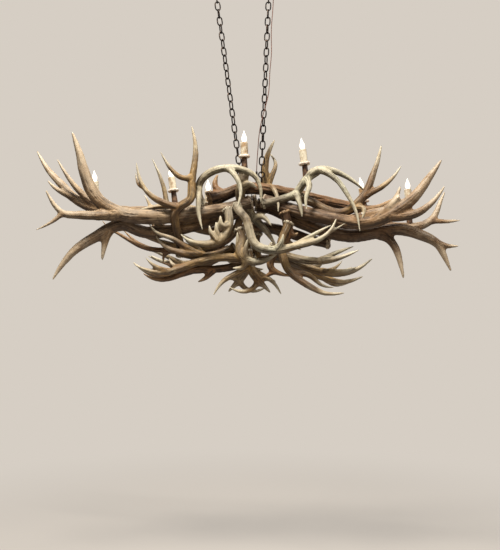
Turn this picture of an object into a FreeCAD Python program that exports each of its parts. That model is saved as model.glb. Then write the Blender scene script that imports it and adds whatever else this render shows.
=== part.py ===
"""Antler chandelier: elk and mule deer antlers coped and screwed together into an
oblong basket, seven candle lights, hung on two chains from one oblong ceiling canopy.

Millimetres, +Z up, X along the long side, -Y is the front.  The origin is the middle of
the canopy's rim, where it meets the ceiling.  The antlers are laid out about a datum
point of their own, DATUM, which hangs below the ceiling on the two chains.
"""
import FreeCAD, Part
import math
import os
import Sketcher

Vec = FreeCAD.Vector
doc = FreeCAD.newDocument("antler_chandelier")

# --------------------------------------------------------------------- driving sizes
SIZES = {
    # ceiling canopy, an oblong pressed pan, and the strap behind it
    "canopy_length": 380, "canopy_width": 120, "canopy_height": 26, "canopy_wall": 1.5,
    "canopy_bevel": 6, "loop_spacing": 266,
    "strap_length": 330, "strap_width": 30, "strap_thickness": 4,
    "ceiling_screw_spacing": 90, "ceiling_screw_hole": 6.5,
    # threaded loops above, eye bolts below: a round stud that ends in a closed ring
    "stud_diameter": 10, "ring_radius": 14, "ring_wire": 7, "nut_width": 17,
    "nut_height": 5, "collar_width": 24, "collar_height": 5, "loop_neck": 12,
    "hole_play": 0.3,
    # chains: oval links of round wire
    "link_length": 52, "link_width": 31, "link_wire": 6, "link_play": 0.3, "link_count": 23,
    "left_lean": 7.7, "right_lean": 2.4, "eye_height": 183,
    # lamp cord and the two pipe nipples that it runs between
    "cord_diameter": 4, "nipple_diameter": 10, "nipple_bore": 5, "cord_offset": 24,
    "cord_gap": 0.6,
    # antlers: thickness of the beams at the base and the play of a coped joint
    "elk_beam": 54, "deer_beam": 37, "cope_play": 0.3, "screw_diameter": 6,
    # candle lights
    "sleeve_diameter": 38, "sleeve_bore": 31, "sleeve_length": 68, "drip_pan_diameter": 58,
    "drip_pan_thickness": 8, "stem_diameter": 26, "lamp_pipe_diameter": 9,
    "socket_diameter": 24, "socket_height": 60,
    "bulb_base_diameter": 12, "bulb_base_length": 20, "bulb_glass_diameter": 27,
    "bulb_glass_length": 62, "bulb_play": 0.3,
}


def make_sheet():
    """Write every driving size into the spreadsheet, one aliased cell each."""
    sheet = doc.addObject("Spreadsheet::Sheet", "sizes")
    for row, (name, value) in enumerate(SIZES.items(), start=1):
        sheet.set("A%d" % row, name)
        sheet.set("B%d" % row, str(value))
        sheet.setAlias("B%d" % row, name)
    doc.recompute()
    return sheet


sheet = make_sheet()


def size(name):
    """The value of one driving size."""
    return float(sheet.get(name))


PARTS = []


def keep(item, label):
    """Name a finished sub-part; every kept sub-part is written to a file."""
    item.Label = label
    PARTS.append(item)
    return item


def bind(item, **expressions):
    """Tie properties of an object to the sheet."""
    for prop, expression in expressions.items():
        item.setExpression(prop, expression)


def primitive(kind, name, base=(0, 0, 0), **expressions):
    """A Part primitive whose sizes follow the sheet."""
    item = doc.addObject("Part::" + kind, name)
    item.Placement.Base = Vec(*base)
    bind(item, **expressions)
    return item


def cut(name, base, tool):
    item = doc.addObject("Part::Cut", name)
    item.Base = base
    item.Tool = tool
    return item


def fuse(name, shapes):
    item = doc.addObject("Part::MultiFuse", name)
    item.Shapes = shapes
    return item


def placed(name, shape, label):
    """A sub-part whose shape is worked out here, from the sheet's sizes."""
    item = doc.addObject("Part::Feature", name)
    item.Shape = shape
    return keep(item, label)


# ------------------------------------------------------------------- places of things
LOOP_X = size("loop_spacing") / 2
LOOP_NECK_Z = -size("canopy_height") - size("collar_height") - size("loop_neck")
LOOP_CENTRE_Z = LOOP_NECK_Z - size("ring_radius")
LOOP_LOW_Z = LOOP_CENTRE_Z - size("ring_radius")
LINK_HALF = (size("link_length") - size("link_wire")) / 2
LINK_PITCH = size("link_length") - 2 * size("link_wire") - size("link_play")
RING_BITE = (size("ring_wire") + size("link_wire")) / 2 + size("link_play")
CHAIN_LENGTH = 2 * (LINK_HALF - RING_BITE) + (size("link_count") - 1) * LINK_PITCH


def chain_foot(side):
    """Where the lower ring's wire crosses a chain's line; side is -1 left, 1 right."""
    lean = math.radians(size("left_lean") if side < 0 else size("right_lean"))
    return Vec(side * (LOOP_X - CHAIN_LENGTH * math.sin(lean)), 0,
               LOOP_LOW_Z - CHAIN_LENGTH * math.cos(lean))


EYES = [chain_foot(-1), chain_foot(1)]
EYE_RIGHT_X = 62.0      # the right eye bolt, from the antlers' datum point
EYE_BACK_Y = -50.0      # and how far in front of it the eyes stand
DATUM = Vec(EYES[1].x - EYE_RIGHT_X, -EYE_BACK_Y, EYES[1].z - size("eye_height"))


# ------------------------------------------------------------------ PartDesign helpers
def origin_plane(body, role):
    return [item for item in body.Origin.OriginFeatures if item.Role == role][0]


def new_sketch(body, name, role="XY_Plane"):
    sketch = body.newObject("Sketcher::SketchObject", name)
    sketch.AttachmentSupport = [(origin_plane(body, role), "")]
    sketch.MapMode = "FlatFace"
    return sketch


END_FLATS = 8           # flats round each rounded end of the canopy and the strap
STUD_SIDES = 8          # flats round studs, threaded pipes and their bores
NUT_SIDES = 6


def fasten(sketch, kind, *where):
    """Add one constraint; its place in the sketch's list is returned."""
    return sketch.addConstraint(Sketcher.Constraint(kind, *where))


def flats_round(sketch, centre, radius, start, finish, count):
    """Equal flats with their corners on a guide circle: the guide and the flats."""
    guide = sketch.addGeometry(Part.Circle(centre, Vec(0, 0, 1), radius), True)
    turns = [start + (finish - start) * step / count for step in range(count + 1)]
    corners = [centre + Vec(math.cos(turn), math.sin(turn), 0) * radius for turn in turns]
    flats = [sketch.addGeometry(Part.LineSegment(a, b)) for a, b in zip(corners, corners[1:])]
    for flat in flats:
        fasten(sketch, "PointOnObject", flat, 1, guide)
    for flat, following in zip(flats, flats[1:]):
        fasten(sketch, "Coincident", flat, 2, following, 1)
        fasten(sketch, "Equal", flat, following)
    return guide, flats


def slot_sketch(body, name, length, width, margin):
    """An oblong with rounded ends about the origin, drawn in by margin on every side."""
    sketch = new_sketch(body, name)
    radius = size(width) / 2 - size(margin) if margin else size(width) / 2
    half = (size(length) - size(width)) / 2
    inset = " - 2 * sizes." + margin if margin else ""
    quarter = math.pi / 2
    right, right_flats = flats_round(sketch, Vec(half, 0, 0), radius, -quarter, quarter,
                                     END_FLATS)
    left, left_flats = flats_round(sketch, Vec(-half, 0, 0), radius, quarter, 3 * quarter,
                                   END_FLATS)
    for guide, flats, others, up in ((right, right_flats, left_flats, 1),
                                     (left, left_flats, right_flats, -1)):
        side = sketch.addGeometry(Part.LineSegment(Vec(up * half, up * radius, 0),
                                                   Vec(-up * half, up * radius, 0)))
        fasten(sketch, "Coincident", flats[-1], 2, side, 1)
        fasten(sketch, "Coincident", side, 2, others[0], 1)
        fasten(sketch, "PointOnObject", flats[-1], 2, guide)
        fasten(sketch, "Vertical", guide, 3, flats[0], 1)
        fasten(sketch, "Vertical", guide, 3, flats[-1], 2)
    fasten(sketch, "Equal", right, left)
    fasten(sketch, "PointOnObject", right, 3, -1)
    fasten(sketch, "Symmetric", left, 3, right, 3, -1, 1)
    spread = fasten(sketch, "DistanceX", left, 3, right, 3, 2 * half)
    sketch.setExpression("Constraints[%d]" % spread, "sizes.%s - sizes.%s" % (length, width))
    across = fasten(sketch, "Diameter", right, 2 * radius)
    sketch.setExpression("Constraints[%d]" % across, "sizes." + width + inset)
    return sketch


def through_pocket(body, sketch):
    pocket = body.newObject("PartDesign::Pocket", sketch.Name + "_pocket")
    pocket.Profile = sketch
    pocket.Type = "ThroughAll"
    pocket.Midplane = True
    return pocket


def round_pocket(body, name, centres, diameter):
    """Round holes right through the body at the named centres."""
    sketch = new_sketch(body, name)
    for x, y in centres:
        hole = sketch.addGeometry(Part.Circle(Vec(x, y, 0), Vec(0, 0, 1), size(diameter) / 2))
        bound = fasten(sketch, "Diameter", hole, size(diameter))
        sketch.setExpression("Constraints[%d]" % bound, "sizes." + diameter)
    return through_pocket(body, sketch)


def bore_pocket(body, name, centres, diameter):
    """Bores with flats, a little wider than the studs or pipes that go through them."""
    sketch = new_sketch(body, name)
    across = size(diameter) + 2 * size("hole_play")
    for x, y in centres:
        guide, flats = flats_round(sketch, Vec(x, y, 0), across / 2, 0, 2 * math.pi, STUD_SIDES)
        fasten(sketch, "Coincident", flats[-1], 2, flats[0], 1)
        bound = fasten(sketch, "Diameter", guide, across)
        sketch.setExpression("Constraints[%d]" % bound, "sizes.%s + 2 * sizes.hole_play" % diameter)
    return through_pocket(body, sketch)


# ------------------------------------------------------------------- ceiling fitting
CORD_X = LOOP_X + size("cord_offset")


def make_canopy():
    """Pressed pan: pad, bevelled lower edge, hollowed from above, three holes."""
    body = doc.addObject("PartDesign::Body", "canopy_body")
    pad = body.newObject("PartDesign::Pad", "canopy_pad")
    pad.Profile = slot_sketch(body, "canopy_outline", "canopy_length", "canopy_width", None)
    pad.Reversed = True
    bind(pad, Length="sizes.canopy_height")
    doc.recompute()
    rim = [name for name, edge in named_edges(pad.Shape)
           if abs(edge.CenterOfMass.z + size("canopy_height")) < 0.01]
    bevel = body.newObject("PartDesign::Chamfer", "canopy_bevel")
    bevel.Base = (pad, rim)
    bind(bevel, Size="sizes.canopy_bevel")
    hollow = body.newObject("PartDesign::Pocket", "canopy_hollow")
    hollow.Profile = slot_sketch(body, "canopy_inside", "canopy_length", "canopy_width",
                                 "canopy_wall")
    bind(hollow, Length="sizes.canopy_height - sizes.canopy_bevel")
    bore_pocket(body, "canopy_stud_bores", [(-LOOP_X, 0), (LOOP_X, 0)], "stud_diameter")
    bore_pocket(body, "canopy_cord_bore", [(CORD_X, 0)], "nipple_diameter")
    return keep(body, "ceiling_canopy")


def named_edges(shape):
    return [("Edge%d" % (index + 1), edge) for index, edge in enumerate(shape.Edges)]


def make_strap():
    """Flat steel strap behind the canopy, screwed to the ceiling box."""
    body = doc.addObject("PartDesign::Body", "strap_body")
    pad = body.newObject("PartDesign::Pad", "strap_pad")
    pad.Profile = slot_sketch(body, "strap_outline", "strap_length", "strap_width", None)
    pad.Reversed = True
    bind(pad, Length="sizes.strap_thickness")
    half = size("ceiling_screw_spacing") / 2
    round_pocket(body, "strap_screw_holes", [(-half, 0), (half, 0)], "ceiling_screw_hole")
    bore_pocket(body, "strap_stud_bores", [(-LOOP_X, 0), (LOOP_X, 0)], "stud_diameter")
    bore_pocket(body, "strap_cord_bore", [(CORD_X, 0)], "nipple_diameter")
    return keep(body, "mounting_strap")


def closed_tube(stations, normal, wire, sides):
    """Wire of a flat closed loop: one mitred ring of corners per station."""
    rings = []
    for index, point in enumerate(stations):
        before, after = stations[index - 1], stations[(index + 1) % len(stations)]
        forward = (after - point).normalize() + (point - before).normalize()
        outward = Vec(forward).normalize().cross(normal)
        stretch = 1 / math.cos((after - point).getAngle(point - before) / 2)
        rings.append([point + outward * (wire * stretch * math.cos(2 * math.pi * k / sides))
                      + normal * (wire * math.sin(2 * math.pi * k / sides))
                      for k in range(sides)])
    faces = []
    for ring, following in zip(rings, rings[1:] + rings[:1]):
        for k in range(sides):
            j = (k + 1) % sides
            faces.append(flat_face([ring[k], ring[j], following[j], following[k]]))
    return closed_solid(faces)


def flat_face(corners):
    return Part.Face(Part.makePolygon(corners + corners[:1]))


def closed_solid(faces):
    solid = Part.Solid(Part.Shell(faces))
    if solid.Volume < 0:
        solid.reverse()
    return solid


RING_STEPS = 10
RING_SIDES = 4
CEILING_GAP = 0.5       # the studs and the upper nipple end just short of the ceiling


def ring_and_stud(centre, stud_low, stud_high):
    """A closed ring of round wire in the XZ plane with a round stud on it."""
    reach = size("ring_radius") / math.cos(math.pi / RING_STEPS)
    turns = [2 * math.pi * (step + 0.5) / RING_STEPS for step in range(RING_STEPS)]
    stations = [centre + Vec(reach * math.cos(turn), 0, reach * math.sin(turn))
                for turn in turns]
    ring = closed_tube(stations, Vec(0, 1, 0), size("ring_wire") / 2, RING_SIDES)
    across = size("stud_diameter") * math.cos(math.pi / STUD_SIDES)
    stud = flat_bar(Vec(centre.x, centre.y, stud_low), Vec(0, 0, 1), across,
                    stud_high - stud_low, STUD_SIDES)
    return ring.fuse(stud)


def flat_bar(low, axis, width, height, sides):
    """Prism on low along axis; width is across its flats."""
    axis = Vec(axis).normalize()
    flat = Part.Circle(low, axis, width / 2 / math.cos(math.pi / sides))
    corners = [flat.value(2 * math.pi * k / sides) for k in range(sides)]
    face = Part.Face(Part.makePolygon(corners + corners[:1]))
    return face.extrude(axis * height)


def drilled_nut(low, width, height):
    """Hexagon nut with its bore, standing on low."""
    up = Vec(0, 0, 1)
    bore = flat_bar(low - up * height, up, size("stud_diameter"), 3 * height, STUD_SIDES)
    return flat_bar(low, up, width, height, NUT_SIDES).cut(bore)


def make_ceiling_hardware():
    strap = size("strap_thickness")
    loops, nuts, collars = [], [], []
    for side in (-1, 1):
        centre = Vec(side * LOOP_X, 0, LOOP_CENTRE_Z)
        stud_low = LOOP_CENTRE_Z + size("ring_radius")
        loops.append(ring_and_stud(centre, stud_low, -CEILING_GAP))
        nuts.append(drilled_nut(Vec(side * LOOP_X, 0, -strap - size("nut_height")),
                                size("nut_width"), size("nut_height")))
        low = -size("canopy_height") - size("collar_height")
        collars.append(drilled_nut(Vec(side * LOOP_X, 0, low), size("collar_width"),
                                   size("collar_height")))
    placed("loops", Part.makeCompound(loops), "ceiling_loops")
    placed("strap_nuts", Part.makeCompound(nuts), "strap_nuts")
    placed("canopy_collars", Part.makeCompound(collars), "canopy_collars")
    nipple_low = LOOP_LOW_Z + size("cord_gap")
    placed("upper_nipple", pipe(Vec(CORD_X, 0, nipple_low), Vec(0, 0, 1),
                                -CEILING_GAP - nipple_low), "upper_cord_nipple")


def pipe(low, axis, length):
    """Threaded pipe that the lamp cord passes through."""
    outside = size("nipple_diameter") * math.cos(math.pi / STUD_SIDES)
    outer = flat_bar(low, axis, outside, length, STUD_SIDES)
    bore = flat_bar(low - axis * length, axis, size("nipple_bore"), 3 * length, STUD_SIDES)
    return outer.cut(bore)


# ---------------------------------------------------------------------------- chains
LINK_SIDES = 4
LINK_END_STEPS = 3


def link_shape(centre, along, across):
    """One oval link: straight sides, round ends, a faceted wire; along is its length."""
    along, across = Vec(along).normalize(), Vec(across).normalize()
    bend = (size("link_width") - size("link_wire")) / 2
    straight = (size("link_length") - size("link_width")) / 2
    stations = []
    for end in (1, -1):
        for step in range(LINK_END_STEPS + 1):
            turn = math.pi * step / LINK_END_STEPS
            inner = 0 < step < LINK_END_STEPS
            reach = bend / math.cos(math.pi / 2 / LINK_END_STEPS) if inner else bend
            stations.append(centre + along * end * (straight + reach * math.sin(turn))
                            + across * end * reach * math.cos(turn))
    return closed_tube(stations, along.cross(across), size("link_wire") / 2, LINK_SIDES)


def make_chain(side, label):
    """Links turned a quarter each, from the ceiling loop down to the eye bolt."""
    top = Vec(side * LOOP_X, 0, LOOP_LOW_Z)
    along = (EYES[0 if side < 0 else 1] - top).normalize()
    flat, edge = Vec(0, 1, 0), along.cross(Vec(0, 1, 0))
    links = []
    for index in range(int(size("link_count"))):
        centre = top + along * (LINK_HALF - RING_BITE + index * LINK_PITCH)
        links.append(link_shape(centre, along, edge if index % 2 else flat))
    placed(label, Part.makeCompound(links), label)


# Offsets of the lamp cord from the right chain's line, across and back, going down.
CORD_OFFSETS = [(24, 0), (24.5, -1), (22, -3), (20, -2), (22, 1.5), (26, -1), (25, -6),
                (21, -8), (22, -5), (20, -12), (10, -21), (-4, -23), (-15, -19),
                (-21, -11), (-22, -4), (-24.5, -1), (-24, 0)]


CORD_SIDES = 4
CORD_BEND_SHARE = 0.45      # how much of each straight run its bends take up


def cord_route():
    """The cord's points, evenly spaced from the upper nipple to the lower one."""
    top, foot = Vec(LOOP_X, 0, LOOP_LOW_Z), EYES[1]
    last = len(CORD_OFFSETS) - 1
    route = []
    for index, (across, back) in enumerate(CORD_OFFSETS):
        line = top + (foot - top) * (index / last)
        route.append(line + Vec(across, back, 0))
    route[-1].z = cord_foot().z
    return route


def cord_foot():
    """Where the cord meets the axis through both eyes."""
    across = -size("cord_offset")
    slope = (EYES[1].z - EYES[0].z) / (EYES[1].x - EYES[0].x)
    return Vec(EYES[1].x + across, 0, EYES[1].z + slope * across)


def make_cord():
    """Straight runs joined by tangent arcs, swept with the cord's round section."""
    route = cord_route()
    edges, start, radii = [], route[0], []
    for before, point, after in zip(route, route[1:], route[2:]):
        arrive, leave = (point - before), (after - point)
        turn = arrive.getAngle(leave)
        reach = CORD_BEND_SHARE * min(arrive.Length, leave.Length)
        radii.append(reach / math.tan(turn / 2))
        arrive.normalize()
        leave.normalize()
        first, last = point - arrive * reach, point + leave * reach
        towards = (leave - arrive).normalize()
        middle = point + towards * radii[-1] * (1 / math.cos(turn / 2) - 1)
        edges.append(Part.makeLine(start, first))
        edges.append(Part.Arc(first, middle, last).toShape())
        start = last
    edges.append(Part.makeLine(start, route[-1]))
    path = Part.Wire(edges)
    radius = size("cord_diameter") / 2
    circle = Part.Circle(route[0], route[1] - route[0], radius)
    corners = [circle.value(2 * math.pi * k / CORD_SIDES) for k in range(CORD_SIDES)]
    tube = path.makePipeShell([Part.makePolygon(corners + corners[:1])], True, False)
    section = CORD_SIDES / 2 * radius ** 2 * math.sin(2 * math.pi / CORD_SIDES)
    print("cord: length %.0f mm, least bend radius %.0f mm, volume / (section x length) %.4f"
          % (path.Length, min(radii), tube.Volume / (section * path.Length)))
    placed("lamp_cord", tube, "lamp_cord")


# --------------------------------------------------------------------------- antlers
# Each antler is laid out about DATUM: (across, back, up) in millimetres.  The first
# line of points is its beam from the burr to the last tip, the others are its tines
# from the beam to their tips.
# Thickness: a beam swells towards its forks and then tapers fast to its last tip, and a
# tine starts as a share of the beam that it grows from.
KINDS = {
    "elk": {"beam": "elk_beam", "swell": 0.2, "taper": 6.5, "tip": 0.12, "tine": 0.74,
            "beam_sides": 6, "tine_sides": 5},
    "deer": {"beam": "deer_beam", "swell": 0.1, "taper": 3.4, "tip": 0.15, "tine": 0.82,
             "beam_sides": 5, "tine_sides": 4},
}
BEAM_STEP = 90.0
TINE_STEP = 72.0
TINE_TIP = 0.14
TINE_TAPER = 1.7
BURR_FLARE = 1.22


class Limb:
    """A beam or tine: a smooth centre line with a radius at each station."""

    def __init__(self, points, radii, sides):
        self.points = points
        self.radii = radii
        self.sides = sides
        self.tools = {}

    def solid(self, grow=0.0):
        """Faceted tube through the stations; grow makes it wider and longer all round."""
        if grow not in self.tools:
            self.tools[grow] = limb_solid(self.points, self.radii, self.sides, grow)
        return self.tools[grow]


def limb_solid(points, radii, sides, grow):
    """Triangles between one ring of corners per station, closed at both ends."""
    wider = grow / math.cos(math.pi / sides)
    stations = list(points)
    stations[0] = points[0] + (points[0] - points[1]).normalize() * grow
    stations[-1] = points[-1] + (points[-1] - points[-2]).normalize() * grow
    rings, outward = [], Vec(0.3, 0.2, 1.0)
    last = len(stations) - 1
    for index, (point, radius) in enumerate(zip(stations, radii)):
        arrive = stations[max(index, 1)] - stations[max(index, 1) - 1]
        leave = stations[min(index, last - 1) + 1] - stations[min(index, last - 1)]
        along = (arrive.normalize() + leave.normalize()).normalize()
        outward = Vec(outward - along * outward.dot(along)).normalize()
        sideways = along.cross(outward)
        wide = radius + wider
        rings.append([point + outward * (wide * math.cos(2 * math.pi * k / sides))
                      + sideways * (wide * math.sin(2 * math.pi * k / sides))
                      for k in range(sides)])
    faces = [flat_face(rings[0]), flat_face(rings[-1])]
    for ring, following in zip(rings, rings[1:]):
        for k in range(sides):
            j = (k + 1) % sides
            faces.append(flat_face([ring[k], ring[j], following[j]]))
            faces.append(flat_face([ring[k], following[j], following[k]]))
    return closed_solid(faces)


def smooth_line(points, step):
    """Evenly spaced stations on a smooth curve through the points."""
    curve = Part.BSplineCurve()
    curve.interpolate([Vec(*point) for point in points])
    count = max(3, int(round(curve.length() / step)) + 1)
    return curve.discretize(Number=count)


def nearest(limbs, point):
    """The station nearest to a point, and the radius there."""
    best = None
    for limb in limbs:
        for station, radius in zip(limb.points, limb.radii):
            gap = station.distanceToPoint(point)
            if best is None or gap < best[0]:
                best = (gap, station, radius)
    return best[1], best[2]


class Antler:
    """One shed antler: its limbs, and the solid that they make together."""

    def __init__(self, kind, girth, beam, *tines):
        rule = KINDS[kind]
        thick = size(rule["beam"]) / 2 * girth
        points = smooth_line(beam, BEAM_STEP)
        last = len(points) - 1
        radii = []
        for k in range(last + 1):
            share = k / last
            swollen = 1 + rule["swell"] * math.sin(math.pi * share)
            radii.append(thick * swollen * (1 - (1 - rule["tip"]) * share ** rule["taper"]))
        radii[0] *= BURR_FLARE
        self.limbs = [Limb(points, radii, rule["beam_sides"])]
        for tine in tines:
            self.add_tine(tine, rule)
        self.name = ""

    def half_turn(self, shift):
        """The same layout on the far side: half a turn about the datum, then a shift."""
        other = Antler.__new__(Antler)
        other.limbs = [Limb([Vec(-p.x, -p.y, p.z) + Vec(*shift) for p in limb.points],
                            list(limb.radii), limb.sides) for limb in self.limbs]
        other.name = ""
        return other

    def add_tine(self, tine, rule):
        root, beam_radius = nearest(self.limbs, Vec(*tine[0]))
        points = smooth_line([root] + list(tine[1:]), TINE_STEP)
        last = len(points) - 1
        thick = beam_radius * rule["tine"]
        radii = [thick * (1 - (1 - TINE_TIP) * (k / last) ** TINE_TAPER)
                 for k in range(last + 1)]
        self.limbs.append(Limb(points, radii, rule["tine_sides"]))

    def raise_solid(self):
        """Fuse the limbs into the one piece of the antler."""
        whole = self.limbs[0].solid()
        if len(self.limbs) > 1:
            whole = whole.fuse([limb.solid() for limb in self.limbs[1:]])
        self.shape = one_solid(whole, self.name)


def one_solid(shape, name):
    if len(shape.Solids) != 1:
        raise ValueError("%s came out as %d solids" % (name, len(shape.Solids)))
    return shape.Solids[0]


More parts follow.
